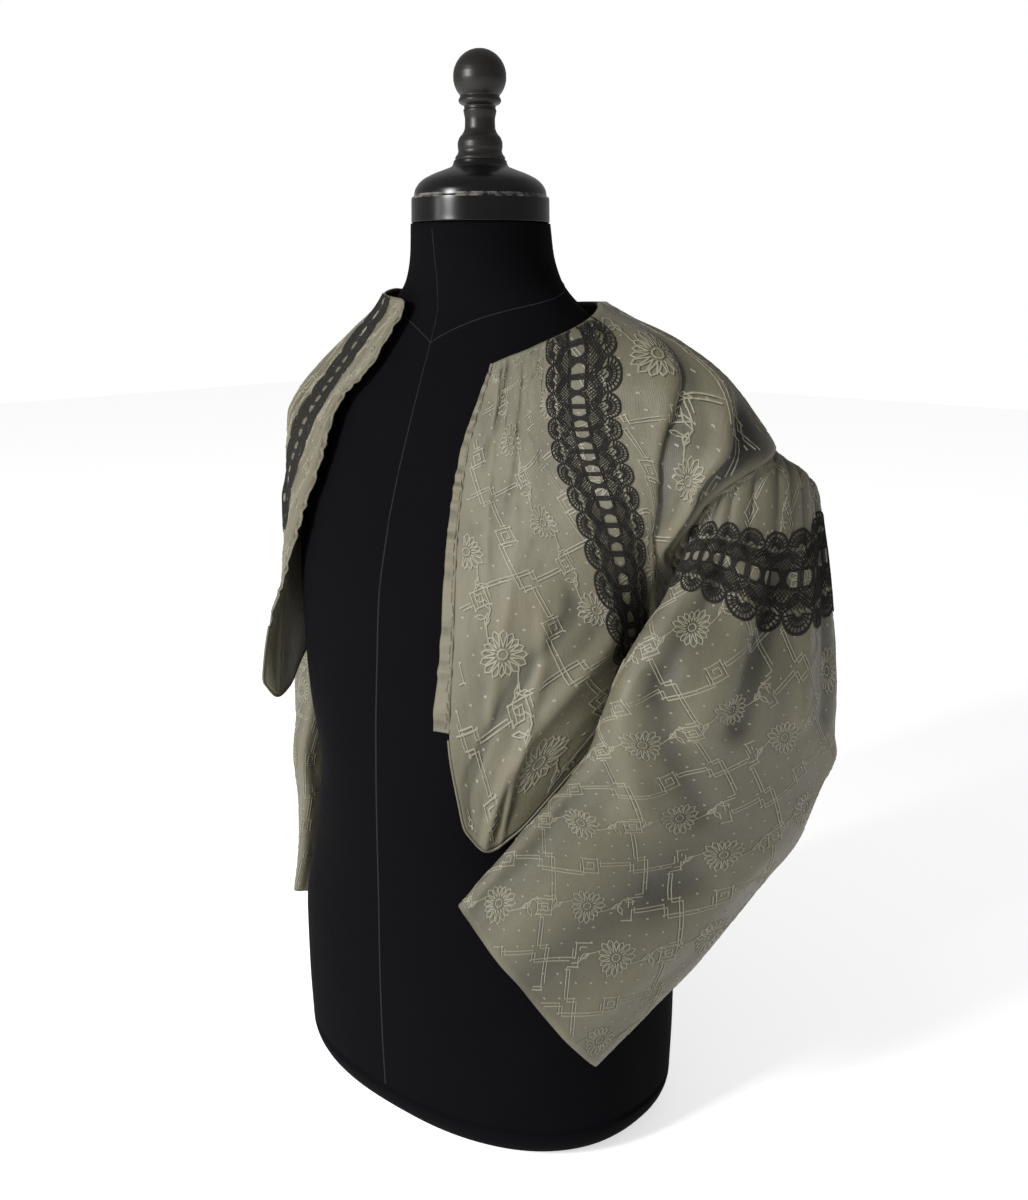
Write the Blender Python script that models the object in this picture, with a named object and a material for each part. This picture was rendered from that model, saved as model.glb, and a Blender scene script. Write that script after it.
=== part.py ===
"""Short open silk jacket with applied lace, standing on a limbless dress form.

The form faces -Y and the wearer's left is +X. Every cloth piece is a thin closed shell on the surface
that its table describes. Angles are measured in plan from the side of the body: negative is the front.
"""

import math

import bpy
import numpy as np

# Driving sizes, in metres

CLOTH = 0.0015
LACE = 0.0010
LACE_LIFT = 0.0030
LACE_MARGIN = 0.08
SCALLOP = (0.0, 0.30, 0.36, 0.22)
SEAM = 0.0004
BASE_ROUND = 0.030
AXIS_BACK = 0.0005
CAP_BOTTOM = 0.7129
FINIAL_BOTTOM = 0.7584
BALL_RADIUS = 0.0197
BALL_CENTRE = 0.8172
PIPING_RADIUS = 0.0011
GATHERS = 9
GATHER_DEPTH = 0.0035

# Dress form: a row for each section. half = half-width, front and back = half-depths, power = squareness

FORM = {
    "z":     [0.030, 0.080, 0.137, 0.197, 0.253, 0.281, 0.341, 0.392, 0.440, 0.500, 0.533, 0.558, 0.582,
              0.606, 0.630, 0.654, 0.670, 0.690, 0.7125],
    "half":  [0.1715, 0.1726, 0.172, 0.157, 0.1428, 0.1377, 0.1547, 0.1635, 0.169, 0.175, 0.177, 0.177, 0.171,
              0.153, 0.123, 0.086, 0.0665, 0.057, 0.0530],
    "front": [0.1210, 0.1230, 0.1237, 0.1230, 0.1228, 0.1225, 0.1210, 0.1180, 0.1145, 0.1022, 0.0918, 0.0825,
              0.0735, 0.0640, 0.0545, 0.0470, 0.0478, 0.0505, 0.0530],
    "back":  [0.1210, 0.1225, 0.1230, 0.1190, 0.1150, 0.1135, 0.1150, 0.1165, 0.1180, 0.1175, 0.1120, 0.1030,
              0.0925, 0.0800, 0.0680, 0.0580, 0.0555, 0.0540, 0.0530],
    "power": [2.27, 2.27, 2.27, 2.27, 2.27, 2.27, 2.27, 2.27, 2.27, 2.2, 2.1, 2.0, 1.9, 1.85, 1.85, 1.95,
              2.0, 2.0, 2.0],
}

# Surface that the jacket's body follows, with a half-width for each side because it hangs askew

BODY = {
    "z":     [0.230, 0.300, 0.360, 0.410, 0.450, 0.490, 0.530, 0.558, 0.582, 0.606, 0.630, 0.6536, 0.675],
    "left":  [0.166, 0.158, 0.167, 0.177, 0.185, 0.205, 0.243, 0.257, 0.241, 0.219, 0.179, 0.116, 0.079],
    "right": [0.166, 0.158, 0.167, 0.175, 0.180, 0.189, 0.205, 0.210, 0.195, 0.167, 0.136, 0.099, 0.076],
    "front": [0.133, 0.132, 0.131, 0.127, 0.122, 0.114, 0.101, 0.092, 0.0825, 0.073, 0.064, 0.056, 0.056],
    "back":  [0.126, 0.124, 0.125, 0.127, 0.128, 0.128, 0.121, 0.113, 0.102, 0.090, 0.078, 0.067, 0.063],
    "power": [2.27, 2.27, 2.27, 2.27, 2.27, 2.15, 2.0, 1.9, 1.85, 1.85, 1.85, 1.9, 2.0],
}

# Front panels: a row for each level from the neck and shoulder down to the hem, (angle, height) per column

FRONT_COLUMNS = ("edge", "lappet", "slope", "lace_in", "lace_out", "yoke", "side")
FRONT = {
    1: [
        [(-42.2, 0.6145), (-37, 0.619), (-31, 0.624), (-24.8, 0.6305), (-8.2, 0.6475), (2, 0.656), (5, 0.563)],
        [(-46.5, 0.590), (-40, 0.591), (-34, 0.592), (-28.4, 0.592), (-15.8, 0.594), (-8, 0.590), (-3.5, 0.548)],
        [(-52.0, 0.556), (-43, 0.558), (-36, 0.559), (-29.4, 0.560), (-17.7, 0.563), (-12.5, 0.547), (-8, 0.520)],
        [(-54.0, 0.524), (-45, 0.526), (-36, 0.527), (-27.4, 0.528), (-16.9, 0.531), (-12.5, 0.504), (-6.5, 0.487)],
        [(-55.0, 0.491), (-46, 0.490), (-35, 0.489), (-24.0, 0.487), (-12.6, 0.487), (-6.5, 0.465), (3, 0.455)],
        [(-55.8, 0.423), (-47, 0.424), (-34, 0.426), (-17.5, 0.427), (-6.5, 0.427), (-1.5, 0.424), (3.5, 0.42)],
        [(-57.0, 0.3555), (-47.5, 0.350), (-36, 0.356), (-14.5, 0.389), (-4.5, 0.396), (-0.5, 0.397), (4, 0.397)],
        [(-52.6, 0.2835), (-46.4, 0.269), (-38.8, 0.2825), (-14.0, 0.357), (-4, 0.371), (0, 0.375), (4, 0.378)],
    ],
    -1: [
        [(-61, 0.6555), (-56, 0.658), (-50, 0.6585), (-43, 0.659), (-22, 0.6615), (-4, 0.6645), (5, 0.553)],
        [(-50, 0.607), (-46, 0.609), (-42, 0.610), (-38, 0.611), (-23, 0.609), (-12, 0.600), (-3.5, 0.538)],
        [(-41.5, 0.578), (-39.5, 0.578), (-37.5, 0.577), (-35, 0.577), (-21, 0.573), (-13.5, 0.549), (-8, 0.512)],
        [(-44, 0.534), (-40, 0.534), (-37, 0.534), (-33, 0.534), (-19, 0.531), (-13, 0.499), (-6.5, 0.480)],
        [(-42.5, 0.490), (-38.5, 0.490), (-34, 0.490), (-29, 0.490), (-16, 0.485), (-8, 0.461), (3, 0.450)],
        [(-39, 0.440), (-35.5, 0.440), (-31, 0.440), (-25, 0.440), (-12, 0.438), (-4, 0.428), (3.5, 0.415)],
        [(-35, 0.395), (-32, 0.395), (-28, 0.397), (-22, 0.400), (-9, 0.402), (-2, 0.400), (4, 0.393)],
        [(-33.5, 0.341), (-31, 0.327), (-26.5, 0.333), (-17, 0.356), (-7, 0.376), (-1, 0.380), (4, 0.375)],
    ],
}
# How far the front stands off the surface at the edge, a value for each level
FRONT_FLARE = {
    1: [0.0, 0.0, 0.0, 0.0, 0.0, 0.0, 0.001, 0.003],
    -1: [0.0, 0.0, 0.001, 0.001, 0.001, 0.006, 0.018, 0.030],
}
BAND_WIDTH = {
    1: [0.8, 2.0, 2.8, 3.4, 3.6, 4.0, 5.2],
    -1: [1.4, 2.4, 2.4, 2.6, 2.6, 2.6, 2.6],
}
UPPER_ROWS = 13
LOWER_ROWS = 3
FRONT_LINES = (0, 0.5, 1, 2, 2.5, 3, 3.38, 3.62, 4, 5, 5.5, 6)

# Back panel: the same levels, angles from each side towards the middle of the back

BACK_SIDE = {
    1: [(5.3, 0.563), (13.0, 0.548), (16.5, 0.520), (13.5, 0.487), (3.4, 0.455), (3.9, 0.42), (4.4, 0.397),
        (4.4, 0.378)],
    -1: [(5.3, 0.553), (13.0, 0.538), (16.5, 0.512), (13.5, 0.480), (3.4, 0.450), (3.9, 0.415), (4.4, 0.393),
         (4.4, 0.375)],
}
BACK_INNER = {
    "yoke_left":   [(2.6, 0.656), (20, 0.595), (24, 0.548), (23, 0.500), (17, 0.466), (13, 0.43), (13, 0.400),
                    (13, 0.380)],
    "blade_left":  [(45, 0.655), (45, 0.612), (45, 0.575), (45, 0.533), (42, 0.490), (42, 0.44), (42, 0.408),
                    (42, 0.385)],
    "centre":      [(90, 0.653), (90, 0.615), (90, 0.575), (90, 0.533), (90, 0.490), (90, 0.44), (90, 0.408),
                    (90, 0.387)],
    "blade_right": [(135, 0.6585), (135, 0.615), (135, 0.575), (135, 0.533), (138, 0.488), (138, 0.438),
                    (138, 0.406), (138, 0.383)],
    "yoke_right":  [(183.4, 0.6645), (161, 0.600), (156, 0.545), (157, 0.495), (163, 0.462), (167, 0.428),
                    (167, 0.398), (167, 0.378)],
}
BACK_STEPS = (2, 3, 4, 4, 3, 2)

# Sleeves: a row for each section below the armhole. front and back = its two folded edges,
# out and into = half-thickness on the outer and inner side, rise and drop = tilt of those sides

SLEEVE = {
    1: [
        # front edge            back edge               out    into   rise   drop
        ((0.2215, -0.0235, 0.5230), (0.245, 0.071, 0.522), 0.030, 0.030, 0.023, 0.078),
        ((0.2165, -0.0300, 0.4950), (0.252, 0.080, 0.487), 0.034, 0.026, 0.015, 0.055),
        ((0.2105, -0.0435, 0.4665), (0.260, 0.088, 0.430), 0.035, 0.029, 0.004, 0.030),
        ((0.2035, -0.0640, 0.437), (0.265, 0.091, 0.3775), 0.038, 0.034, -0.004, 0.012),
        ((0.195, -0.0725, 0.409), (0.263, 0.096, 0.340), 0.038, 0.036, 0.0, 0.0),
        ((0.185, -0.076, 0.381), (0.255, 0.099, 0.300), 0.036, 0.034, 0.0, 0.0),
        ((0.175, -0.0785, 0.354), (0.247, 0.088, 0.255), 0.034, 0.032, 0.0, 0.0),
        ((0.163, -0.089, 0.330), (0.234, 0.047, 0.219), 0.031, 0.030, 0.0, 0.0),
        ((0.152, -0.106, 0.3095), (0.220, 0.0, 0.180), 0.028, 0.028, 0.0, 0.0),
        ((0.140, -0.1245, 0.286), (0.203, -0.045, 0.148), 0.024, 0.025, 0.0, 0.0),
        ((0.115, -0.151, 0.2445), (0.184, -0.081, 0.114), 0.022, 0.020, 0.0, 0.0),
    ],
    -1: [
        ((0.208, -0.018, 0.512), (0.232, 0.071, 0.512), 0.026, 0.030, 0.024, 0.074),
        ((0.204, -0.016, 0.482), (0.238, 0.080, 0.475), 0.033, 0.030, 0.018, 0.052),
        ((0.204, -0.018, 0.448), (0.246, 0.097, 0.425), 0.036, 0.032, 0.008, 0.030),
        ((0.202, -0.022, 0.412), (0.252, 0.110, 0.375), 0.038, 0.034, 0.0, 0.012),
        ((0.196, -0.024, 0.372), (0.254, 0.120, 0.330), 0.038, 0.034, 0.0, 0.0),
        ((0.190, -0.026, 0.330), (0.252, 0.125, 0.285), 0.036, 0.032, 0.0, 0.0),
        ((0.1925, -0.030, 0.288), (0.248, 0.122, 0.240), 0.034, 0.030, 0.0, 0.0),
        ((0.1980, -0.034, 0.245), (0.244, 0.114, 0.196), 0.031, 0.028, 0.0, 0.0),
        ((0.1905, -0.037, 0.203), (0.240, 0.104, 0.152), 0.028, 0.026, 0.0, 0.0),
        ((0.1905, -0.040, 0.160), (0.236, 0.094, 0.107), 0.025, 0.023, 0.0, 0.0),
        ((0.1955, -0.043, 0.113), (0.232, 0.084, 0.060), 0.022, 0.020, 0.0, 0.0),
    ],
}
SLEEVE_AROUND = 36
# Where its rings lie between the rows, four of them under the lace
SLEEVE_LACE = (1.6, 2.1, 2.35, 2.9)
SLEEVE_LINES = (0.0, 0.5, 1.05) + SLEEVE_LACE + (3.4, 4.2, 5.2, 6.2, 7.2, 8.2, 9.4, 11.0)

MATERIALS = {
    "silk":   ((0.36, 0.35, 0.26), 0.42, 0.0),
    "lace":   ((0.012, 0.012, 0.014), 0.75, 0.0),
    "cover":  ((0.014, 0.014, 0.018), 0.85, 0.0),
    "gloss":  ((0.010, 0.010, 0.011), 0.16, 0.0),
    "turned": ((0.030, 0.022, 0.017), 0.35, 0.0),
}


# Scene and mesh helpers

def clear_scene():
    for obj in list(bpy.data.objects):
        bpy.data.objects.remove(obj, do_unlink=True)


def material(name):
    found = bpy.data.materials.get(name)
    if found:
        return found
    colour, roughness, metallic = MATERIALS[name]
    made = bpy.data.materials.new(name)
    made.use_nodes = True
    shader = made.node_tree.nodes["Principled BSDF"]
    shader.inputs["Base Color"].default_value = (*colour, 1.0)
    shader.inputs["Roughness"].default_value = roughness
    shader.inputs["Metallic"].default_value = metallic
    made.diffuse_color = (*colour, 1.0)
    return made


def add_mesh(name, points, faces, look):
    """Adds a closed mesh, turned so that its faces point outwards."""
    points = np.asarray(points, float)
    volume = 0.0
    for face in faces:
        for k in range(1, len(face) - 1):
            a, b, c = points[face[0]], points[face[k]], points[face[k + 1]]
            volume += np.dot(a, np.cross(b, c))
    if volume < 0:
        faces = [tuple(reversed(face)) for face in faces]
    mesh = bpy.data.meshes.new(name)
    mesh.from_pydata(points.tolist(), [], [tuple(int(i) for i in face) for face in faces])
    mesh.materials.append(material(look))
    obj = bpy.data.objects.new(name, mesh)
    bpy.context.scene.collection.objects.link(obj)
    for polygon in mesh.polygons:
        polygon.use_smooth = True
    return obj


def normals_of(grid, around=False):
    """Unit normals of a grid of points, wrapping in the second direction where the grid is a tube."""
    along = np.gradient(grid, axis=0)
    if around:
        across = np.roll(grid, -1, axis=1) - np.roll(grid, 1, axis=1)
    else:
        across = np.gradient(grid, axis=1)
    out = np.cross(across, along)
    return out / np.maximum(np.linalg.norm(out, axis=2, keepdims=True), 1e-12)


def add_shell(name, grid, normals, thickness, look, around=False, holes=()):
    """A wall of even thickness on a grid of points. Cells listed in holes are left out and walled round.

    Both faces of a cell are split along the same, shorter slant, so that a warped cell keeps its thickness.
    """
    rows, columns = grid.shape[:2]
    cells_across = columns if around else columns - 1
    used = {(i, j) for i in range(rows - 1) for j in range(cells_across)} - set(holes)
    keep = {}
    points = []

    def vertex(i, j, side):
        j %= columns
        if (i, j, side) not in keep:
            keep[i, j, side] = len(points)
            points.append(grid[i, j] + normals[i, j] * thickness * (0.5 if side else -0.5))
        return keep[i, j, side]

    faces = []
    for i, j in sorted(used):
        ring = [(i, j), (i, j + 1), (i + 1, j + 1), (i + 1, j)]
        corners = [grid[a, b % columns] for a, b in ring]
        slants = [np.linalg.norm(corners[k] - corners[k + 2]) for k in (0, 1)]
        start = int(slants[1] < slants[0])
        p, q, r, s = ring[start:] + ring[:start]
        for half in ((p, q, r), (p, r, s)):
            faces.append([vertex(a, b, 1) for a, b in half])
            faces.append([vertex(a, b, 0) for a, b in reversed(half)])
        beside = [(i - 1, j), (i, j + 1), (i + 1, j), (i, j - 1)]
        for k, (a, b) in enumerate(beside):
            if around:
                b %= columns
            if (a, b) in used:
                continue
            p, q = ring[k], ring[(k + 1) % 4]
            faces.append([vertex(*p, 0), vertex(*q, 0), vertex(*q, 1), vertex(*p, 1)])
    return add_mesh(name, points, faces, look)


def add_rings(name, rings, look):
    """A solid skinned over closed rings of points, its two ends closed by flat faces."""
    around = len(rings[0])
    points = [tuple(p) for ring in rings for p in ring]
    faces = []
    for i in range(len(rings) - 1):
        for j in range(around):
            k = (j + 1) % around
            faces.append([i * around + j, i * around + k, (i + 1) * around + k, (i + 1) * around + j])
    faces.append(list(reversed(range(around))))
    faces.append([(len(rings) - 1) * around + j for j in range(around)])
    return add_mesh(name, points, faces, look)


# Curves through a table's rows

def through(values, at):
    """Smooth curve through evenly spaced values that never overshoots them, read at the positions in at."""
    values = np.asarray(values, float)
    at = np.clip(np.asarray(at, float), 0, len(values) - 1)
    first = np.minimum(at.astype(int), len(values) - 2)
    t = at - first
    if values.ndim > 1:
        t = t[..., None]
    step = np.diff(values, axis=0)
    even = step[1:] * step[:-1] > 0
    slope = np.zeros_like(values)
    slope[1:-1] = np.where(even, 2 * step[1:] * step[:-1] / np.where(even, step[1:] + step[:-1], 1.0), 0.0)
    slope[0], slope[-1] = step[0], step[-1]
    start, end = values[first], values[first + 1]
    slope0, slope1 = slope[first], slope[first + 1]
    return (
        start * (2 * t**3 - 3 * t**2 + 1)
        + end * (3 * t**2 - 2 * t**3)
        + slope0 * (t**3 - 2 * t**2 + t)
        + slope1 * (t**3 - t**2)
    )


def section_of(table, z, key):
    """One named size of a table at height z, on a smooth curve through the rows."""
    at = np.interp(z, table["z"], np.arange(len(table["z"])))
    return through(table[key], at)


def radius_of(angle, half, depth, power):
    """Distance from the axis to a rounded-square section at this angle."""
    return ((np.abs(np.cos(angle)) / half) ** power + (np.abs(np.sin(angle)) / depth) ** power) ** (-1 / power)


def body_point(angle, z, lift=0.0):
    """Point of the jacket's surface. The angle runs in degrees from the left side, negative at the front."""
    turn = np.radians(angle)
    left = section_of(BODY, z, "left")
    right = section_of(BODY, z, "right")
    half = np.where(np.cos(turn) >= 0, left, right)
    depth = np.where(np.sin(turn) < 0, section_of(BODY, z, "front"), section_of(BODY, z, "back"))
    reach = radius_of(turn, half, depth, section_of(BODY, z, "power")) + lift
    return np.stack([reach * np.cos(turn), reach * np.sin(turn), z * np.ones_like(reach)], axis=-1)


# Dress form

def form_ring(z, inset, around):
    turn = np.linspace(0, 2 * math.pi, around, endpoint=False)
    depth = np.where(np.sin(turn) < 0, section_of(FORM, z, "front"), section_of(FORM, z, "back"))
    reach = radius_of(turn, section_of(FORM, z, "half"), depth, section_of(FORM, z, "power")) - inset
    return np.stack([reach * np.cos(turn), reach * np.sin(turn) + AXIS_BACK, np.full(around, z)], axis=-1)


def add_form():
    around = 40
    rings = []
    for step in range(5):
        turn = step / 4 * math.pi / 2
        inset = BASE_ROUND * (1 - math.sin(turn))
        ring = form_ring(BASE_ROUND, inset, around)
        ring[:, 2] = BASE_ROUND * (1 - math.cos(turn))
        rings.append(ring)
    levels = [0.06, 0.10, 0.14, 0.18, 0.22, 0.25, 0.281, 0.31, 0.34, 0.37, 0.40, 0.43, 0.46, 0.49, 0.515,
              0.54, 0.562, 0.582, 0.60, 0.618, 0.634, 0.648, 0.660, 0.672, 0.69, 0.7125]
    rings += [form_ring(z, 0.0, around) for z in levels]
    add_rings("form_torso", rings, "cover")


def turned_rings(profile, around):
    """Rings of a turned piece from (radius, height) steps."""
    turn = np.linspace(0, 2 * math.pi, around, endpoint=False)
    return [
        np.stack([r * np.cos(turn), r * np.sin(turn) + AXIS_BACK, np.full(around, z)], axis=-1) for r, z in profile
    ]


def add_cap_and_finial():
    cap = [(0.0515, CAP_BOTTOM), (0.0522, 0.7160), (0.0520, 0.7300), (0.0505, 0.7365), (0.0475, 0.7410),
           (0.0430, 0.7450), (0.0350, 0.7490), (0.0270, 0.7520), (0.0205, 0.7550), (0.0192, 0.7580)]
    add_rings("form_neck_cap", turned_rings(cap, 28), "gloss")
    finial = [(0.0188, FINIAL_BOTTOM), (0.0188, 0.7608), (0.0172, 0.7628), (0.0166, 0.7660), (0.0168, 0.7700),
              (0.0158, 0.7740), (0.0126, 0.7778), (0.0113, 0.7815), (0.0112, 0.7870), (0.0121, 0.7915),
              (0.0122, 0.7940), (0.0118, 0.7958), (0.0150, 0.7985), (0.0159, 0.8012), (0.0148, 0.8035)]
    for step in range(9):
        turn = math.radians(-40 + step * 15.6)
        finial.append((BALL_RADIUS * math.cos(turn), BALL_CENTRE + BALL_RADIUS * math.sin(turn)))
    add_rings("form_finial", turned_rings(finial, 16), "turned")


# Body panels of the jacket

def panel_levels():
    """Levels of the rows of points that the fronts and the back share, closer together below the band's foot."""
    return np.concatenate([np.linspace(0, 6, UPPER_ROWS + 1), np.linspace(6, 7, LOWER_ROWS + 1)[1:]])


def levels_of(rows, at, column):
    """(angle, height) of one column of a table at the levels in at."""
    return through([row[column] for row in rows], at)


def front_angles(side, across, at):
    """(angle, height) over a front panel: across runs over the columns and at over the levels."""
    rows = FRONT[side]
    columns = np.stack([levels_of(rows, at, k) for k in range(len(FRONT_COLUMNS))], axis=1)
    low = np.minimum(across.astype(int), len(FRONT_COLUMNS) - 2)
    t = (across - low)[None, :, None]
    return columns[:, low] * (1 - t) + columns[:, low + 1] * t


# Soft folds of the fronts: (column, level) where each begins and ends, half-width in columns, height
FRONT_FOLDS = {
    1: [(3.2, 4.8, 0.9, 7.0, 0.28, 0.0030), (2.7, 4.6, 0.3, 6.6, 0.22, -0.0022), (5.0, 0.9, 4.9, 3.2, 0.25, -0.0025)],
    -1: [(2.0, 0.4, 1.2, 2.2, 0.5, 0.0022), (1.5, 3.0, 2.2, 6.0, 0.5, 0.0020)],
}


def fold_lift(side, across, at):
    """Height of the soft folds over the panel, a rounded ridge along each fold's line."""
    a, b = np.meshgrid(across, at)
    lift = np.zeros_like(a)
    for a0, b0, a1, b1, wide, high in FRONT_FOLDS[side]:
        along = np.clip((b - b0) / (b1 - b0), 0, 1)
        gap = np.abs(a - (a0 + (a1 - a0) * along))
        past = np.maximum(np.maximum(b0 - b, b - b1), 0)
        lift += high * np.exp(-((gap / wide) ** 2) - (past / 0.35) ** 2)
    return lift


def front_grid(side, across, at):
    angles = front_angles(side, across, at)
    flare = through(FRONT_FLARE[side], at)[:, None] * np.clip(1 - across / 4.5, 0, 1)[None, :] ** 1.3
    lift = flare + fold_lift(side, across, at)
    angle = angles[..., 0] if side > 0 else -180 - angles[..., 0]
    return body_point(angle, angles[..., 1], lift)


def facing_out(grid, normals):
    """Normals turned away from the axis of the form."""
    away = grid * np.array([1.0, 1.0, 0.0])
    flip = np.sign(np.sum(away * normals, axis=(0, 1)).sum())
    return normals * flip


def read_grid(grid, rows, columns):
    """Points between a grid's own, straight across each cell: rows and columns are positions in the grid."""
    i = np.clip(rows.astype(int), 0, grid.shape[0] - 2)
    j = np.clip(columns.astype(int), 0, grid.shape[1] - 2)
    s, t = (rows - i)[..., None], (columns - j)[..., None]
    return (
        grid[i, j] * (1 - s) * (1 - t)
        + grid[i + 1, j] * s * (1 - t)
        + grid[i, j + 1] * (1 - s) * t
        + grid[i + 1, j + 1] * s * t
    )


def lace_pattern(first, last, span):
    """Positions along a strip between two cells of its grid, and the rows that hold a window."""
    steps = np.array([0.0, 0.36, 0.5, 0.86])
    count = int(round((last - first) / span))
    along = np.concatenate([first + (k + steps) * span for k in range(count)] + [np.array([float(last)])])
    along[0] += LACE_MARGIN * span
    along[-1] -= LACE_MARGIN * span
    windows = [4 * k + row for k in range(count) for row in (0, 2)]
    return along, windows


def add_lace(name, grid, normals, along, windows, first, last, around=False):
    """A strip of lace lifted off a grid. first and last are the grid lines under its two edges."""
    lines = np.linspace(first, last, 4)
    across = np.repeat(lines[None, :], len(along), axis=0)
    rows = np.repeat(along[:, None], 4, axis=1)
    wave = np.array([SCALLOP[i % 4] for i in range(len(along))])
    across[:, 0] += max(SCALLOP) - wave
    across[:, -1] -= max(SCALLOP) - wave
    if around:
        rows, across = across, rows
    points = read_grid(grid, rows, across)
    facing = read_grid(normals, rows, across)
    facing /= np.linalg.norm(facing, axis=2, keepdims=True)
    holes = [(i, 1) for i in windows]
    return add_shell(name, points + facing * LACE_LIFT, facing, LACE, "lace", holes=holes)


def add_front(side):
    tag = "left" if side > 0 else "right"
    at = panel_levels()
    across = np.array(FRONT_LINES, float)
    grid = front_grid(side, across, at)
    normals = facing_out(grid, normals_of(grid))
    add_shell(f"front_{tag}", grid, normals, CLOTH, "silk")
    along, windows = lace_pattern(0, len(at) - 1, 1)
    first = FRONT_LINES.index(3)
    add_lace(f"lace_front_{tag}", grid, normals, along, windows, first, first + 3)
    add_band(side, tag)
    add_piping(side, tag)


def add_band(side, tag):
    """The narrow puckered band along the front edge."""
    rows = np.linspace(0, 6, UPPER_ROWS + 1)
    at = np.linspace(0, 6, 2 * UPPER_ROWS + 1)
    edge = levels_of(FRONT[side], rows, 0)
    inner = np.stack([np.interp(at, rows, edge[:, k]) for k in (0, 1)], axis=1)
    width = through(BAND_WIDTH[side], at)
    flare = np.interp(at, rows, through(FRONT_FLARE[side], rows))
    pucker = 0.0007 * np.sin(np.arange(len(at)) * 2.1) * np.sin(np.pi * at / 6) ** 0.5
    strips = []
    for share in (0.0, 0.5, 1.0):
        angle = inner[:, 0] - 0.25 - (width - 0.25) * share
        if side < 0:
            angle = -180 - angle
        strips.append(body_point(angle, inner[:, 1], flare + pucker * share))
    grid = np.stack(strips, axis=1)
    add_shell(f"band_{tag}", grid, facing_out(grid, normals_of(grid)), CLOTH, "silk")


def add_piping(side, tag):
    """A thin cord just clear of the hem, from the foot of the band round the lappet to the side seam."""
    levels = [6.2, 6.5, 6.8]
    columns = list(FRONT_LINES[:-1]) + [5.95]
    edge = front_grid(side, np.array([0.0]), np.array(levels))[:, 0]
    edge_in = front_grid(side, np.array([0.4]), np.array(levels))[:, 0]
    hem = front_grid(side, np.array(columns), np.array([7.0]))[0]
    hem_in = front_grid(side, np.array(columns), np.array([6.7]))[0]
    path = np.concatenate([edge, hem])
    inner = np.concatenate([edge_in, hem_in])
    inner[3] = front_grid(side, np.array([0.4]), np.array([6.8]))[0, 0]
    run = np.gradient(path, axis=0)
    run /= np.linalg.norm(run, axis=1, keepdims=True)
    away = path - inner
    facing = np.cross(run, away)
    facing /= np.linalg.norm(facing, axis=1, keepdims=True)
    away = np.cross(facing, run)
    centre = path + away * (PIPING_RADIUS + 2.5 * SEAM)
    turn = np.linspace(0, 2 * math.pi, 6, endpoint=False)
    rings = [
        [c + PIPING_RADIUS * (math.cos(a) * n + math.sin(a) * f) for a in turn]
        for c, n, f in zip(centre, away, facing)
    ]
    add_rings(f"piping_{tag}", rings, "silk")


def add_back():
    at = panel_levels()
    sides = {s: through(BACK_SIDE[s], at) for s in (1, -1)}
    sides[-1] = np.stack([180 - sides[-1][:, 0], sides[-1][:, 1]], axis=1)
    columns = [sides[1]] + [through(rows, at) for rows in BACK_INNER.values()] + [sides[-1]]
    columns = np.stack(columns, axis=1)
    stops = [np.linspace(k, k + 1, steps, endpoint=False) for k, steps in enumerate(BACK_STEPS)]
    across = np.concatenate(stops + [np.array([len(BACK_STEPS)])])
    low = np.minimum(across.astype(int), len(BACK_STEPS) - 1)
    t = (across - low)[None, :, None]
    angles = columns[:, low] * (1 - t) + columns[:, low + 1] * t
    inside = np.clip(np.minimum(across, len(BACK_STEPS) - across), 0, 1)
    ripple = 0.0025 * np.sin(across * 4.3 + 0.6) * inside
    lift = ripple[None, :] * np.clip(at / 3 - 0.6, 0, 1)[:, None]
    grid = body_point(angles[..., 0], angles[..., 1], lift)
    add_shell("back", grid, facing_out(grid, normals_of(grid)), CLOTH, "silk")


# Sleeves

def armhole(side, share):
    """Point of the armhole's edge. share runs round it from the top: 0.25 front, 0.5 underarm, 0.75 back."""
    front = [row[6] for row in FRONT[side]][:5]
    back = BACK_SIDE[side][:5]
    level = np.where(share <= 0.5, share * 8, (1 - share) * 8)
    pairs = np.where((share <= 0.5)[:, None], through(front, level), through(back, level))
    angle = pairs[:, 0] if side > 0 else 180 - pairs[:, 0]
    return body_point(angle, pairs[:, 1])


def sleeve_section(side, row, share):
    """Ring of one row of the sleeve's table."""
    front, back, out, into, rise, drop = row
    front, back = np.array(front), np.array(back)
    centre, half = (front + back) / 2, (front - back) / 2
    outward = np.cross(half, np.array([0.0, 0.0, 1.0]))
    outward /= np.linalg.norm(outward)
    if outward[0] < 0:
        outward = -outward
    turn = share * 2 * math.pi
    swing = np.cos(turn)
    depth = np.where(swing > 0, out, into)
    tilt = np.where(swing > 0, rise, drop) * swing
    ring = centre + np.sin(turn)[:, None] * half + (swing * depth)[:, None] * outward
    ring[:, 2] += tilt
    ring[:, 0] *= side
    return ring


def smooth_rows(rows, at):
    """Rings between the table's own, each point on a smooth curve down the sleeve."""
    flat = rows.reshape(len(rows), -1)
    return through(flat, at).reshape(len(at), *rows.shape[1:])


def sleeve_normals(grid):
    normals = normals_of(grid, around=True)
    middle = grid.mean(axis=1, keepdims=True)
    return normals * np.sign(np.sum((grid - middle) * normals))


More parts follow.
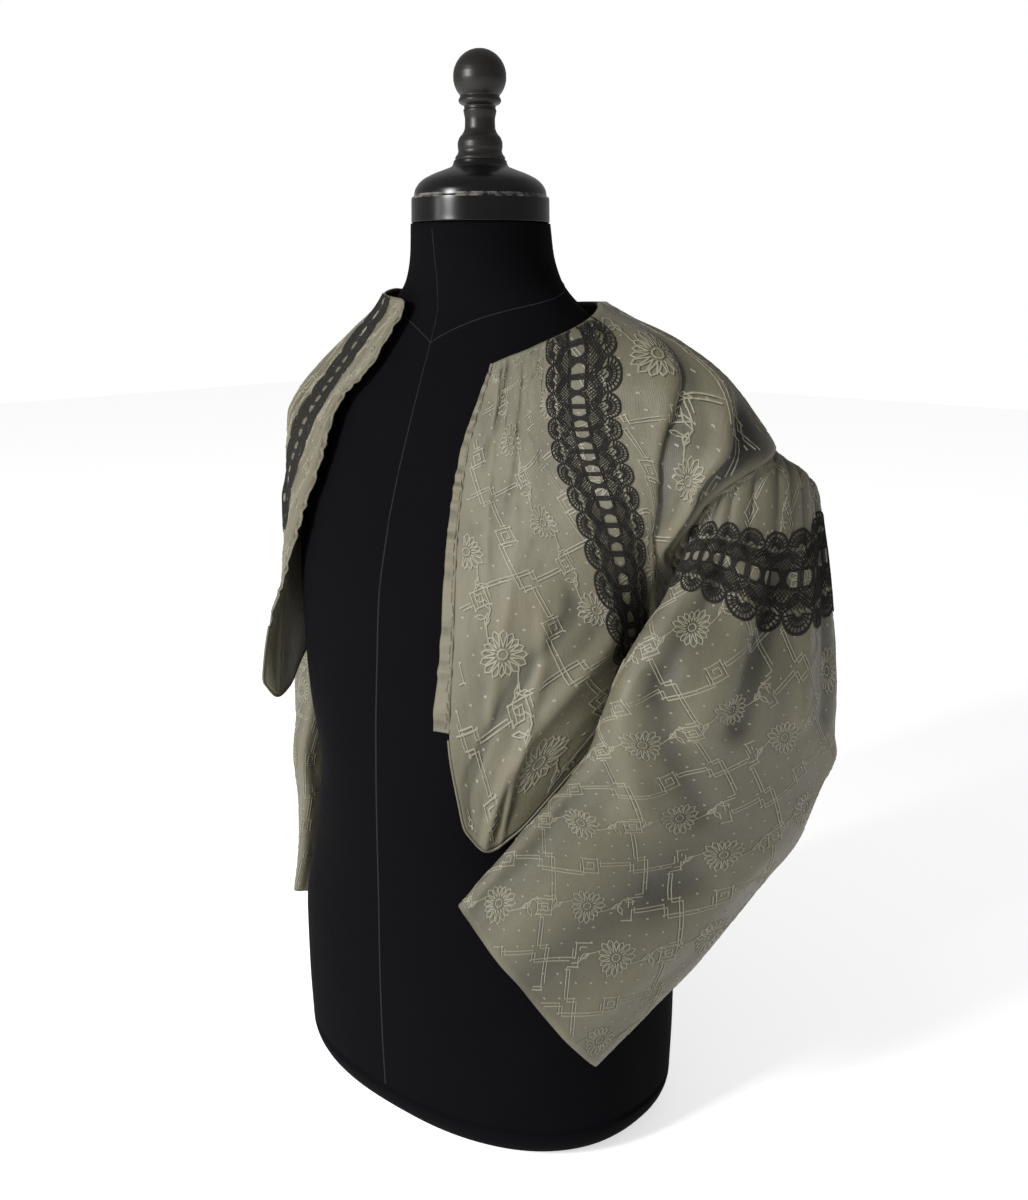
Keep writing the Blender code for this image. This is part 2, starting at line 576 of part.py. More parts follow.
def sleeve_grid(side):
    share = (np.arange(SLEEVE_AROUND) / SLEEVE_AROUND + 0.5) % 1.0
    edge = armhole(side, share)
    middle = edge.mean(axis=0)
    tight = middle + (edge - middle) * 0.952 + np.array([0.0022 * side, 0.0, -0.0004])
    rows = [tight] + [sleeve_section(side, row, share) for row in SLEEVE[side]]
    at = np.array(SLEEVE_LINES)
    grid = smooth_rows(np.stack(rows), at)
    fade = np.interp(at, [0, 0.6, 1.2, 3.0], [0.0, 1.0, 0.8, 0.0])
    wave = np.cos(share * 2 * math.pi * GATHERS) * (0.3 + 0.7 * np.cos(share * 2 * math.pi) ** 2)
    grid = grid + sleeve_normals(grid) * (GATHER_DEPTH * fade[:, None] * wave[None, :])[..., None]
    return grid, sleeve_normals(grid)


def add_sleeve(side):
    tag = "left" if side > 0 else "right"
    grid, normals = sleeve_grid(side)
    add_shell(f"sleeve_{tag}", grid, normals, CLOTH, "silk", around=True)
    grid = np.concatenate([grid, grid[:, :1]], axis=1)
    normals = np.concatenate([normals, normals[:, :1]], axis=1)
    along, windows = lace_pattern(0, SLEEVE_AROUND, 2)
    first = SLEEVE_LINES.index(SLEEVE_LACE[0])
    add_lace(f"lace_sleeve_{tag}", grid, normals, along, windows, first, first + 3, around=True)


clear_scene()
add_form()
add_cap_and_finial()
add_back()
for which in (1, -1):
    add_front(which)
    add_sleeve(which)
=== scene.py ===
# %% [markdown]
# # Short silk jacket with lace bands, standing on a dress form
#
# The solid model gives the form and the cloth their true shape. This script rebuilds each piece as the eye sees
# it: finer, with its creases, its lace thread by thread, its woven pattern, its stitches and its surfaces.
# The form faces -Y, the wearer's left is +X, and all lengths are in metres unless a name says otherwise.
import math

import bpy
import numpy as np
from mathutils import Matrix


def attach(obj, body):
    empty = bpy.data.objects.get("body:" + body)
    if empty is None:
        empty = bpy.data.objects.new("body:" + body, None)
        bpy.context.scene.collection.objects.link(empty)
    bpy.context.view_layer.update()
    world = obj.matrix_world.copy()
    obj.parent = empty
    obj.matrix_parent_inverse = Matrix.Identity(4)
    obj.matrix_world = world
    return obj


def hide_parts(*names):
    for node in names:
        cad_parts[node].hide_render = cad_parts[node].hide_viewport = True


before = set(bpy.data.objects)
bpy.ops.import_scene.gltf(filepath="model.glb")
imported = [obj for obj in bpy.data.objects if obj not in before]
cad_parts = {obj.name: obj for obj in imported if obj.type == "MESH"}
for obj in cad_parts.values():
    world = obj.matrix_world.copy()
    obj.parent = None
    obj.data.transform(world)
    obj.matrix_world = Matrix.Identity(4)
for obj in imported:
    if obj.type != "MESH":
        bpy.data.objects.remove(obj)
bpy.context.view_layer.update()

# %% [markdown]
# ## Sizes
#
# The tables are the pattern of the jacket. BODY is the surface that it follows, FRONT and the two BACK tables
# place each panel's edges on that surface by angle and height, and SLEEVE gives a section for each row.

# %% Driving sizes
CLOTH = 0.0010  # thickness of the cloth
AXIS_BACK = 0.0005  # how far the form's upright axis lies behind the origin
BASE_ROUND = 0.030  # radius of the form's bottom edge
FORM_TOP = 0.7125
CAP_BOTTOM = 0.7129
BALL_RADIUS = 0.0197  # of the finial, and the height of its middle
BALL_CENTRE = 0.8172
GATHERS = 11  # waves round a sleeve's head, each with two puffs
PIPING_RADIUS = 0.0011
WHITE = (1.0, 1.0, 1.0, 1.0)
random = np.random.default_rng(7)

# Dress form: a row for each section. half = half-width, front and back = half-depths, power = squareness

FORM = {
    "z":     [0.030, 0.080, 0.137, 0.197, 0.253, 0.281, 0.341, 0.392, 0.440, 0.500, 0.533, 0.558, 0.582,
              0.606, 0.630, 0.654, 0.670, 0.690, 0.7125],
    "half":  [0.1715, 0.1726, 0.172, 0.157, 0.1428, 0.1377, 0.1547, 0.1635, 0.169, 0.175, 0.177, 0.177, 0.171,
              0.153, 0.123, 0.086, 0.0665, 0.057, 0.0530],
    "front": [0.1210, 0.1230, 0.1237, 0.1230, 0.1228, 0.1225, 0.1210, 0.1180, 0.1145, 0.1022, 0.0918, 0.0825,
              0.0735, 0.0640, 0.0545, 0.0470, 0.0478, 0.0505, 0.0530],
    "back":  [0.1210, 0.1225, 0.1230, 0.1190, 0.1150, 0.1135, 0.1150, 0.1165, 0.1180, 0.1175, 0.1120, 0.1030,
              0.0925, 0.0800, 0.0680, 0.0580, 0.0555, 0.0540, 0.0530],
    "power": [2.27, 2.27, 2.27, 2.27, 2.27, 2.27, 2.27, 2.27, 2.27, 2.2, 2.1, 2.0, 1.9, 1.85, 1.85, 1.95,
              2.0, 2.0, 2.0],
}

# Surface that the jacket's body follows, with a half-width for each side because it hangs askew

BODY = {
    "z":     [0.230, 0.300, 0.360, 0.410, 0.450, 0.490, 0.530, 0.558, 0.582, 0.606, 0.630, 0.6536, 0.675],
    "left":  [0.166, 0.158, 0.167, 0.177, 0.185, 0.205, 0.243, 0.257, 0.241, 0.219, 0.179, 0.116, 0.079],
    "right": [0.166, 0.158, 0.167, 0.175, 0.180, 0.189, 0.205, 0.210, 0.195, 0.167, 0.136, 0.099, 0.076],
    "front": [0.133, 0.132, 0.131, 0.127, 0.122, 0.114, 0.101, 0.092, 0.0825, 0.073, 0.064, 0.056, 0.056],
    "back":  [0.126, 0.124, 0.125, 0.127, 0.128, 0.128, 0.121, 0.113, 0.102, 0.090, 0.078, 0.067, 0.063],
    "power": [2.27, 2.27, 2.27, 2.27, 2.27, 2.15, 2.0, 1.9, 1.85, 1.85, 1.85, 1.9, 2.0],
}

# Front panels: a row for each level from the neck and shoulder down to the hem, with (angle, height) at the front
# edge, the lappet's middle and slope, the lace's two sides, the yoke and the side seam

FRONT = {
    1: [
        [(-42.2, 0.6145), (-37, 0.619), (-31, 0.624), (-24.8, 0.6305), (-8.2, 0.6475), (2, 0.656), (5, 0.563)],
        [(-46.5, 0.590), (-40, 0.591), (-34, 0.592), (-28.4, 0.592), (-15.8, 0.594), (-8, 0.590), (-3.5, 0.548)],
        [(-52.0, 0.556), (-43, 0.558), (-36, 0.559), (-29.4, 0.560), (-17.7, 0.563), (-12.5, 0.547), (-8, 0.520)],
        [(-54.0, 0.524), (-45, 0.526), (-36, 0.527), (-27.4, 0.528), (-16.9, 0.531), (-12.5, 0.504), (-6.5, 0.487)],
        [(-55.0, 0.491), (-46, 0.490), (-35, 0.489), (-24.0, 0.487), (-12.6, 0.487), (-6.5, 0.465), (3, 0.455)],
        [(-55.8, 0.423), (-47, 0.424), (-34, 0.426), (-17.5, 0.427), (-6.5, 0.427), (-1.5, 0.424), (3.5, 0.42)],
        [(-57.0, 0.3555), (-47.5, 0.350), (-36, 0.356), (-14.5, 0.389), (-4.5, 0.396), (-0.5, 0.397), (4, 0.397)],
        [(-52.6, 0.2835), (-46.4, 0.269), (-38.8, 0.2825), (-14.0, 0.357), (-4, 0.371), (0, 0.375), (4, 0.378)],
    ],
    -1: [
        [(-61, 0.6555), (-56, 0.658), (-50, 0.6585), (-43, 0.659), (-22, 0.6615), (-4, 0.6645), (5, 0.553)],
        [(-50, 0.607), (-46, 0.609), (-42, 0.610), (-38, 0.611), (-23, 0.609), (-12, 0.600), (-3.5, 0.538)],
        [(-41.5, 0.578), (-39.5, 0.578), (-37.5, 0.577), (-35, 0.577), (-21, 0.573), (-13.5, 0.549), (-8, 0.512)],
        [(-44, 0.534), (-40, 0.534), (-37, 0.534), (-33, 0.534), (-19, 0.531), (-13, 0.499), (-6.5, 0.480)],
        [(-42.5, 0.490), (-38.5, 0.490), (-34, 0.490), (-29, 0.490), (-16, 0.485), (-8, 0.461), (3, 0.450)],
        [(-39, 0.440), (-35.5, 0.440), (-31, 0.440), (-25, 0.440), (-12, 0.438), (-4, 0.428), (3.5, 0.415)],
        [(-35, 0.395), (-32, 0.395), (-28, 0.397), (-22, 0.400), (-9, 0.402), (-2, 0.400), (4, 0.393)],
        [(-33.5, 0.341), (-31, 0.327), (-26.5, 0.333), (-17, 0.356), (-7, 0.376), (-1, 0.380), (4, 0.375)],
    ],
}

# How far the front stands off the surface at the edge, a value for each level

FRONT_FLARE = {
    1: [0.0, 0.0, 0.0, 0.0, 0.0, 0.0, 0.001, 0.003],
    -1: [0.0, 0.0, 0.001, 0.001, 0.001, 0.006, 0.018, 0.030],
}

# Width of the puckered band in degrees, a value for each level

BAND_WIDTH = {
    1: [0.8, 2.0, 2.8, 3.4, 3.6, 4.0, 5.2],
    -1: [1.4, 2.4, 2.4, 2.6, 2.6, 2.6, 2.6],
}

# Back panel: the same levels, angles from each side towards the middle of the back

BACK_SIDE = {
    1: [(5.3, 0.563), (13.0, 0.548), (16.5, 0.520), (13.5, 0.487), (3.4, 0.455), (3.9, 0.42), (4.4, 0.397),
        (4.4, 0.378)],
    -1: [(5.3, 0.553), (13.0, 0.538), (16.5, 0.512), (13.5, 0.480), (3.4, 0.450), (3.9, 0.415), (4.4, 0.393),
         (4.4, 0.375)],
}
BACK_INNER = {
    "yoke_left":   [(2.6, 0.656), (20, 0.595), (24, 0.548), (23, 0.500), (17, 0.466), (13, 0.43), (13, 0.400),
                    (13, 0.380)],
    "blade_left":  [(45, 0.655), (45, 0.612), (45, 0.575), (45, 0.533), (42, 0.490), (42, 0.44), (42, 0.408),
                    (42, 0.385)],
    "centre":      [(90, 0.653), (90, 0.615), (90, 0.575), (90, 0.533), (90, 0.490), (90, 0.44), (90, 0.408),
                    (90, 0.387)],
    "blade_right": [(135, 0.6585), (135, 0.615), (135, 0.575), (135, 0.533), (138, 0.488), (138, 0.438),
                    (138, 0.406), (138, 0.383)],
    "yoke_right":  [(183.4, 0.6645), (161, 0.600), (156, 0.545), (157, 0.495), (163, 0.462), (167, 0.428),
                    (167, 0.398), (167, 0.378)],
}

# Sleeves: a row for each section below the armhole. front and back = its two folded edges,
# out and into = half-thickness on the outer and inner side, rise and drop = tilt of those sides

SLEEVE = {
    1: [
        # front edge            back edge               out    into   rise   drop
        ((0.2215, -0.0235, 0.5230), (0.245, 0.071, 0.522), 0.030, 0.030, 0.023, 0.078),
        ((0.2165, -0.0300, 0.4950), (0.252, 0.080, 0.487), 0.034, 0.026, 0.015, 0.055),
        ((0.2105, -0.0435, 0.4665), (0.260, 0.088, 0.430), 0.035, 0.029, 0.004, 0.030),
        ((0.2035, -0.0640, 0.437), (0.265, 0.091, 0.3775), 0.038, 0.034, -0.004, 0.012),
        ((0.195, -0.0725, 0.409), (0.263, 0.096, 0.340), 0.038, 0.036, 0.0, 0.0),
        ((0.185, -0.076, 0.381), (0.255, 0.099, 0.300), 0.036, 0.034, 0.0, 0.0),
        ((0.175, -0.0785, 0.354), (0.247, 0.088, 0.255), 0.034, 0.032, 0.0, 0.0),
        ((0.163, -0.089, 0.330), (0.234, 0.047, 0.219), 0.031, 0.030, 0.0, 0.0),
        ((0.152, -0.106, 0.3095), (0.220, 0.0, 0.180), 0.028, 0.028, 0.0, 0.0),
        ((0.140, -0.1245, 0.286), (0.203, -0.045, 0.148), 0.024, 0.025, 0.0, 0.0),
        ((0.115, -0.151, 0.2445), (0.184, -0.081, 0.114), 0.022, 0.020, 0.0, 0.0),
    ],
    -1: [
        ((0.208, -0.018, 0.512), (0.232, 0.071, 0.512), 0.026, 0.030, 0.024, 0.074),
        ((0.204, -0.016, 0.482), (0.238, 0.080, 0.475), 0.033, 0.030, 0.018, 0.052),
        ((0.204, -0.018, 0.448), (0.246, 0.097, 0.425), 0.036, 0.032, 0.008, 0.030),
        ((0.202, -0.022, 0.412), (0.252, 0.110, 0.375), 0.038, 0.034, 0.0, 0.012),
        ((0.196, -0.024, 0.372), (0.254, 0.120, 0.330), 0.038, 0.034, 0.0, 0.0),
        ((0.190, -0.026, 0.330), (0.252, 0.125, 0.285), 0.036, 0.032, 0.0, 0.0),
        ((0.1925, -0.030, 0.288), (0.248, 0.122, 0.240), 0.034, 0.030, 0.0, 0.0),
        ((0.1980, -0.034, 0.245), (0.244, 0.114, 0.196), 0.031, 0.028, 0.0, 0.0),
        ((0.1905, -0.037, 0.203), (0.240, 0.104, 0.152), 0.028, 0.026, 0.0, 0.0),
        ((0.1905, -0.040, 0.160), (0.236, 0.094, 0.107), 0.025, 0.023, 0.0, 0.0),
        ((0.1955, -0.043, 0.113), (0.232, 0.084, 0.060), 0.022, 0.020, 0.0, 0.0),
    ],
}

print("rows of the form", len(FORM["z"]), "body", len(BODY["z"]), "fronts", len(FRONT[1]), "sleeves", len(SLEEVE[1]))

# %% [markdown]
# ## Curves and the surface under the cloth
#
# A table's rows are joined by cubic pieces whose slopes are the harmonic mean of the steps on each side, so the
# curve is smooth and never overshoots. The same curve runs down the rows and across the columns.

# %% Curves
def through(values, at):
    """h(t) = v0(2t³-3t²+1) + v1(3t²-2t³) + m0(t³-2t²+t) + m1(t³-t²) between rows v0 and v1."""
    values = np.asarray(values, float)
    at = np.clip(np.asarray(at, float), 0, len(values) - 1)
    first = np.minimum(at.astype(int), len(values) - 2)
    t = at - first
    if values.ndim > 1:
        t = t[(...,) + (None,) * (values.ndim - 1)]
    step = np.diff(values, axis=0)
    even = step[1:] * step[:-1] > 0
    slope = np.zeros_like(values)
    slope[1:-1] = np.where(even, 2 * step[1:] * step[:-1] / np.where(even, step[1:] + step[:-1], 1.0), 0.0)
    slope[0], slope[-1] = step[0], step[-1]
    return (
        values[first] * (2 * t**3 - 3 * t**2 + 1)
        + values[first + 1] * (3 * t**2 - 2 * t**3)
        + slope[first] * (t**3 - 2 * t**2 + t)
        + slope[first + 1] * (t**3 - t**2)
    )


def size_at(table, z, key):
    """One named size of a table at height z."""
    return through(table[key], np.interp(z, table["z"], np.arange(len(table["z"]))))


def reach(table, turn, z, half):
    """r = (|cos a / w|^n + |sin a / d|^n)^(-1/n), a rounded square with its own depth in front and behind."""
    depth = np.where(np.sin(turn) < 0, size_at(table, z, "front"), size_at(table, z, "back"))
    n = size_at(table, z, "power")
    return ((np.abs(np.cos(turn)) / half) ** n + (np.abs(np.sin(turn)) / depth) ** n) ** (-1 / n)


def form_point(angle, z, lift=0.0):
    """Point of the dress form at an angle in degrees from its left side, negative in front."""
    turn = np.radians(angle)
    r = reach(FORM, turn, z, size_at(FORM, z, "half")) + lift
    return np.stack(np.broadcast_arrays(r * np.cos(turn), r * np.sin(turn) + AXIS_BACK, z), axis=-1)


def body_point(angle, z, lift=0.0):
    """Point of the surface that the jacket's body follows."""
    turn = np.radians(angle)
    half = np.where(np.cos(turn) >= 0, size_at(BODY, z, "left"), size_at(BODY, z, "right"))
    r = reach(BODY, turn, z, half) + lift
    return np.stack(np.broadcast_arrays(r * np.cos(turn), r * np.sin(turn), z), axis=-1)


def girth(z):
    """Length round the form at height z, the sum of its steps of one degree."""
    ring = form_point(np.linspace(0, 360, 361), z)
    return np.linalg.norm(np.diff(ring, axis=0), axis=1).sum()


def normals_of(grid, closed):
    """Unit cross product of the grid's two directions, away from the middle of each ring or of the form."""
    down = np.gradient(grid, axis=0)
    across = np.roll(grid, -1, 1) - np.roll(grid, 1, 1) if closed else np.gradient(grid, axis=1)
    out = np.cross(across, down)
    out /= np.maximum(np.linalg.norm(out, axis=2, keepdims=True), 1e-12)
    middle = grid.mean(axis=1, keepdims=True) if closed else np.array([0.0, 0.0, 1.0]) * grid
    return out * np.sign(np.sum((grid - middle) * out))


print("form's girth at the hip and the neck", round(girth(FORM["z"][2]), 3), round(girth(FORM_TOP), 3))

# %% [markdown]
# ## Sheets, and what is drawn on them
#
# A Sheet is a grid of points with the place of each grid line on the flat cut, in millimetres. Whatever lies on
# the cloth, such as a thread, is drawn flat and then read off the sheet at that place.

# %% Sheets
class Sheet:
    """A cloth surface. rows and columns are its grid lines' places in the tables, x and y those on the cut."""

    def __init__(self, grid, rows, columns, closed=False):
        """The cut's x and y are the mean lengths of the cells added up, in millimetres."""
        self.closed = closed
        self.grid = grid
        self.normals = normals_of(grid, closed)
        self.rows = np.asarray(rows, float)
        self.columns = np.asarray(columns, float)
        self.ring, self.facing = grid, self.normals
        if closed:
            self.ring, self.facing = (np.concatenate([g, g[:, :1]], axis=1) for g in (grid, self.normals))
        wide = np.linalg.norm(np.diff(self.ring, axis=1), axis=2).mean(axis=0) * 1000
        long = np.linalg.norm(np.diff(self.ring, axis=0), axis=2).mean(axis=1) * 1000
        self.x = np.concatenate([[0], np.cumsum(wide)])
        self.y = np.concatenate([[0], np.cumsum(long)])

    def pick(self, i, j):
        """Points and normals between grid lines i and j, straight across each cell."""
        last = self.ring.shape[1] - 1
        j = j % last if self.closed else np.clip(j, 0, last)
        i = np.clip(i, 0, len(self.ring) - 1)
        a = np.minimum(i.astype(int), len(self.ring) - 2)
        b = np.minimum(j.astype(int), last - 1)
        s, t = (i - a)[..., None], (j - b)[..., None]
        found = []
        for g in (self.ring, self.facing):
            near, far = (g[a, c] * (1 - s) + g[a + 1, c] * s for c in (b, b + 1))
            found.append(near * (1 - t) + far * t)
        return found[0], found[1] / np.linalg.norm(found[1], axis=-1, keepdims=True)

    def at_flat(self, place):
        """Points and normals at places (x, y) in millimetres on the flat cut."""
        x = place[..., 0] % self.x[-1] if self.closed else place[..., 0]
        i = np.interp(place[..., 1], self.y, np.arange(len(self.y)))
        return self.pick(i, np.interp(x, self.x, np.arange(len(self.x))))

    def at_table(self, row, column):
        """Points and normals at places in the tables."""
        lines = np.append(self.columns, 1.0 + self.columns[0]) if self.closed else self.columns
        j = np.interp(column % 1.0 if self.closed else column, lines, np.arange(len(lines)))
        return self.pick(np.interp(row, self.rows, np.arange(len(self.rows))), j)


def add_mesh(name, points, faces, look, uv=None, fold=None):
    """One object from arrays of points and faces, riding on the solid model's body."""
    points, faces = np.asarray(points, np.float32), np.asarray(faces, np.int32)
    mesh = bpy.data.meshes.new(name)
    mesh.vertices.add(len(points))
    mesh.vertices.foreach_set("co", points.ravel())
    mesh.loops.add(faces.size)
    mesh.loops.foreach_set("vertex_index", faces.ravel())
    mesh.polygons.add(len(faces))
    mesh.polygons.foreach_set("loop_start", np.arange(0, faces.size, faces.shape[1], dtype=np.int32))
    mesh.update(calc_edges=True)
    mesh.polygons.foreach_set("use_smooth", np.ones(len(faces), bool))
    if uv is not None:
        layer = mesh.uv_layers.new(name="flat")
        layer.data.foreach_set("uv", np.asarray(uv, np.float32)[faces.ravel()].ravel())
    if fold is not None:
        mesh.attributes.new("fold", "FLOAT", "POINT").data.foreach_set("value", np.asarray(fold, np.float32))
    mesh.materials.append(look)
    piece = bpy.data.objects.new(name, mesh)
    bpy.context.scene.collection.objects.link(piece)
    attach(piece, "root")
    print(name, len(faces), "faces")
    return piece


def turned_out(points, faces, facing):
    """The faces, all reversed if most of them look against the given normals."""
    a, b, c = (points[faces[:, k]] for k in (0, 1, 2))
    same = np.sum(np.cross(b - a, c - a) * facing[faces[:, 0]])
    return faces if same > 0 else faces[:, ::-1]


def quads(rows, columns, closed):
    """Corner numbers of the cells of a grid, and the columns on each cell's two sides."""
    i, j = np.meshgrid(np.arange(rows - 1), np.arange(columns if closed else columns - 1), indexing="ij")
    k = (j + 1) % columns
    corners = [i * columns + j, i * columns + k, (i + 1) * columns + k, (i + 1) * columns + j]
    return np.stack(corners, -1).reshape(-1, 4), j[0], k[0]


def add_shell(name, sheet, look, fold):
    """Two skins half a thickness either side of the sheet, joined round their rims. fold is kept on its points, and
    the silk paints sheen on the ridges and shade in the troughs from it.
    """
    rows, columns = sheet.grid.shape[:2]
    count = rows * columns
    outer, j, k = quads(rows, columns, sheet.closed)
    faces = [outer, outer[:, ::-1] + count]
    edges = [(j, k), ((rows - 1) * columns + k, (rows - 1) * columns + j)]
    if not sheet.closed:
        line = np.arange(rows - 1) * columns
        edges += [(line + columns, line), (line + columns - 1, line + 2 * columns - 1)]
    for a, b in edges:
        faces.append(np.stack([b, a, a + count, b + count], -1))
    grid, out = sheet.grid.reshape(-1, 3), sheet.normals.reshape(-1, 3)
    points = np.concatenate([grid + out * CLOTH / 2, grid - out * CLOTH / 2])
    faces = turned_out(points, np.concatenate(faces), np.concatenate([out, -out]))
    flat = np.stack(np.meshgrid(sheet.x[:columns], sheet.y), -1).reshape(-1, 2) / 1000
    return add_mesh(name, points, faces, look, np.concatenate([flat, flat]), np.concatenate([fold.ravel()] * 2))


def add_threads(name, place, segments, widths, rise, look, lift=0.0):
    """Threads on a sheet. Each segment of the flat drawing, of two ends, is a low roof, one width wide."""
    segments = np.asarray(segments, float)
    widths = np.broadcast_to(np.asarray(widths, float), len(segments))[:, None]
    along = segments[:, 1] - segments[:, 0]
    along /= np.maximum(np.linalg.norm(along, axis=1, keepdims=True), 1e-9)
    side = np.stack([-along[:, 1], along[:, 0]], -1) * widths / 2
    ends = [segments[:, 0] - along * widths * 0.3, segments[:, 1] + along * widths * 0.3]
    flat = np.stack([e + s for e in ends for s in (side, side * 0, -side)], axis=1)
    spot, out = place(flat)
    height = np.array([lift, lift + rise, lift] * 2)[None, :, None]
    points = (spot + out * height).reshape(-1, 3)
    first = np.arange(len(segments))[:, None] * 6
    faces = np.concatenate([first + np.array([[0, 1, 4, 3]]), first + np.array([[1, 2, 5, 4]])])
    faces = turned_out(points, faces, out.reshape(-1, 3))
    return add_mesh(name, points, faces, look)


def pieces_of(path, longest=4.0):
    """A polyline cut into segments no longer than this, as an array of pairs of ends."""
    path = np.asarray(path, float)
    found = []
    for a, b in zip(path[:-1], path[1:]):
        count = max(1, int(math.ceil(np.linalg.norm(b - a) / longest)))
        stops = a + (b - a) * np.linspace(0, 1, count + 1)[:, None]
        found.append(np.stack([stops[:-1], stops[1:]], axis=1))
    return np.concatenate(found)


# %% [markdown]
# ## Surfaces
#
# Silk is a procedural weave: two sets of fine waves across each other, slubs, and a colour that turns warm on the
# ridges, a painted sheen, and cool and then dark in the troughs, painted shade. The rest is lace thread, the form's
# cotton cover, lacquer with a lighter ring round its step, and brown-black turned wood. Each finish is a tree of
# nodes: noise and waves go through a remap to the share of a mix, the roughness or the height of a bump.

# %% Materials
class Look:
    """A Principled material, and short ways to the kinds of node that the surfaces use."""

    def __init__(self, name):
        """An empty material of this name."""
        self.material = bpy.data.materials.new(name)
        self.material.use_nodes = True
        self.tree = self.material.node_tree
        self.shader = self.tree.nodes["Principled BSDF"]

    def give(self, socket, value):
        """A socket set to a value, or wired to another node's output."""
        if isinstance(value, bpy.types.NodeSocket):
            self.tree.links.new(value, socket)
        else:
            socket.default_value = value

    def node(self, kind, sockets, out=0, **settings):
        """Output of a new node whose settings are made first and whose sockets are then given."""
        made = self.tree.nodes.new(kind)
        for key, value in settings.items():
            setattr(made, key, value)
        for key, value in sockets.items():
            self.give(made.inputs[key], value)
        return made.outputs[out]

    def noise(self, where, scale, detail, rough=0.5):
        """Cloudy noise, so many clouds to the metre."""
        sockets = {"Vector": where, "Scale": scale, "Detail": detail, "Roughness": rough}
        return self.node("ShaderNodeTexNoise", sockets, "Fac")

    def wave(self, flat, direction, scale, bent):
        """Straight bands across one direction of the flat cut."""
        sockets = {"Vector": flat, "Scale": scale, "Distortion": bent}
        return self.node("ShaderNodeTexWave", sockets, "Fac", bands_direction=direction)

    def remap(self, value, low, high, bottom=0.0, top=1.0):
        """Bottom at low, top at high, straight between them and level outside."""
        return self.node("ShaderNodeMapRange", {0: value, 1: low, 2: high, 3: bottom, 4: top})

    def maths(self, operation, *values):
        """One sum on its values."""
        return self.node("ShaderNodeMath", dict(enumerate(values)), operation=operation)

    def mix(self, share, first, second):
        """first · (1 - share) + second · share, for two colours."""
        return self.node("ShaderNodeMix", {0: share, 6: first, 7: second}, 2, data_type="RGBA")

    def scaled(self, colour, by):
        """A colour times a number."""
        return self.node("ShaderNodeVectorMath", {0: colour, "Scale": by}, operation="SCALE")

    def bump(self, height, strength, distance, **under):
        """A surface normal tilted by the slope of height, on top of another normal if one is named."""
        sockets = {"Strength": strength, "Distance": distance, "Height": height, **under}
        return self.node("ShaderNodeBump", sockets)

    def finished(self, **sockets):
        """The material, its shader's sockets given by name, with _ for a space."""
        for key, value in sockets.items():
            self.give(self.shader.inputs[key.replace("_", " ")], value)
        return self.material


SOIL = (0.080, 0.063, 0.038)


def silk(name, warm, cool, relief=1.0):
    """Warm on the ridges as a painted sheen, cool and then dark in the troughs as painted shade, soiled in spots,
    and woven of two sets of waves.
    """
    look = Look(name)
    flat = look.node("ShaderNodeUVMap", {}, "UV", uv_map="flat")
    where = look.node("ShaderNodeTexCoord", {}, "Object")
    fold = look.node("ShaderNodeAttribute", {}, "Fac", attribute_name="fold")
    broad = look.noise(where, 7.0, 4.0, 0.6)
    # Painted sheen: the fold values turn the ridges warm and the troughs cool, over a random tone from noise.
    turn = look.remap(look.maths("MULTIPLY_ADD", fold, 0.14, broad), 0.10, 0.95)
    sheen_and_tone = look.mix(turn, (*cool, 1), (*warm, 1))
    soiled = look.remap(look.noise(where, 46.0, 5.0, 0.7), 0.60, 0.80, 0.0, 0.22)
    soil_and_sheen = look.mix(soiled, sheen_and_tone, (*SOIL, 1))
    weave = look.maths("ADD", look.wave(flat, "X", 460.0, 0.6), look.wave(flat, "Y", 520.0, 0.8))
    long = look.node("ShaderNodeMapping", {"Vector": flat, "Scale": (900.0, 60.0, 1.0)})
    fine = look.maths("MULTIPLY_ADD", look.noise(long, 1.0, 3.0), 1.6, weave)
    # Painted shade: the colour grows darker the deeper the trough.
    deep = look.scaled(soil_and_sheen, look.remap(fold, -2.0, 0.15, 0.12, 1.0))
    wrinkled = look.bump(look.noise(where, 60.0, 4.0), 0.30 * relief, 0.003)
    return look.finished(
        Base_Color=look.scaled(deep, look.remap(fine, 0.4, 2.6, 0.90, 1.08)),
        Roughness=look.remap(broad, 0.3, 0.7, 0.42, 0.56),
        Normal=look.bump(fine, 0.35, 0.0002, Normal=wrinkled),
        Sheen_Weight=0.06,
        Sheen_Roughness=0.35,
        Specular_IOR_Level=0.42,
    )


def plain(name, colour, roughness, grain=0.0, scale=300.0, lighter_band=None, specular=0.5):
    """One colour varied by noise, with a fine grain, and if given, a lighter ring between two heights, ragged by
    noise, as (colour, low z, high z).
    """
    look = Look(name)
    where = look.node("ShaderNodeTexCoord", {}, "Object")
    noise = look.noise(where, 14.0, 6.0, 0.65)
    shown = look.scaled(colour, look.remap(noise, 0.3, 0.7, 0.78, 1.25))
    if lighter_band:
        band_colour, low, high = lighter_band
        z = look.node("ShaderNodeSeparateXYZ", {0: where}, 2)
        near = look.maths("COMPARE", z, (low + high) / 2, (high - low) / 2)
        share = look.maths("MULTIPLY", near, look.remap(look.noise(where, 110.0, 5.0, 0.7), 0.42, 0.58))
        shown = look.mix(share, shown, (*band_colour, 1))
    given = {"Normal": look.bump(look.noise(where, scale, 4.0), grain, 0.0005)} if grain else {}
    rough = look.remap(noise, 0.3, 0.7, roughness * 0.9, min(1.0, roughness * 1.12))
    return look.finished(Base_Color=shown, Roughness=rough, Specular_IOR_Level=specular, **given)


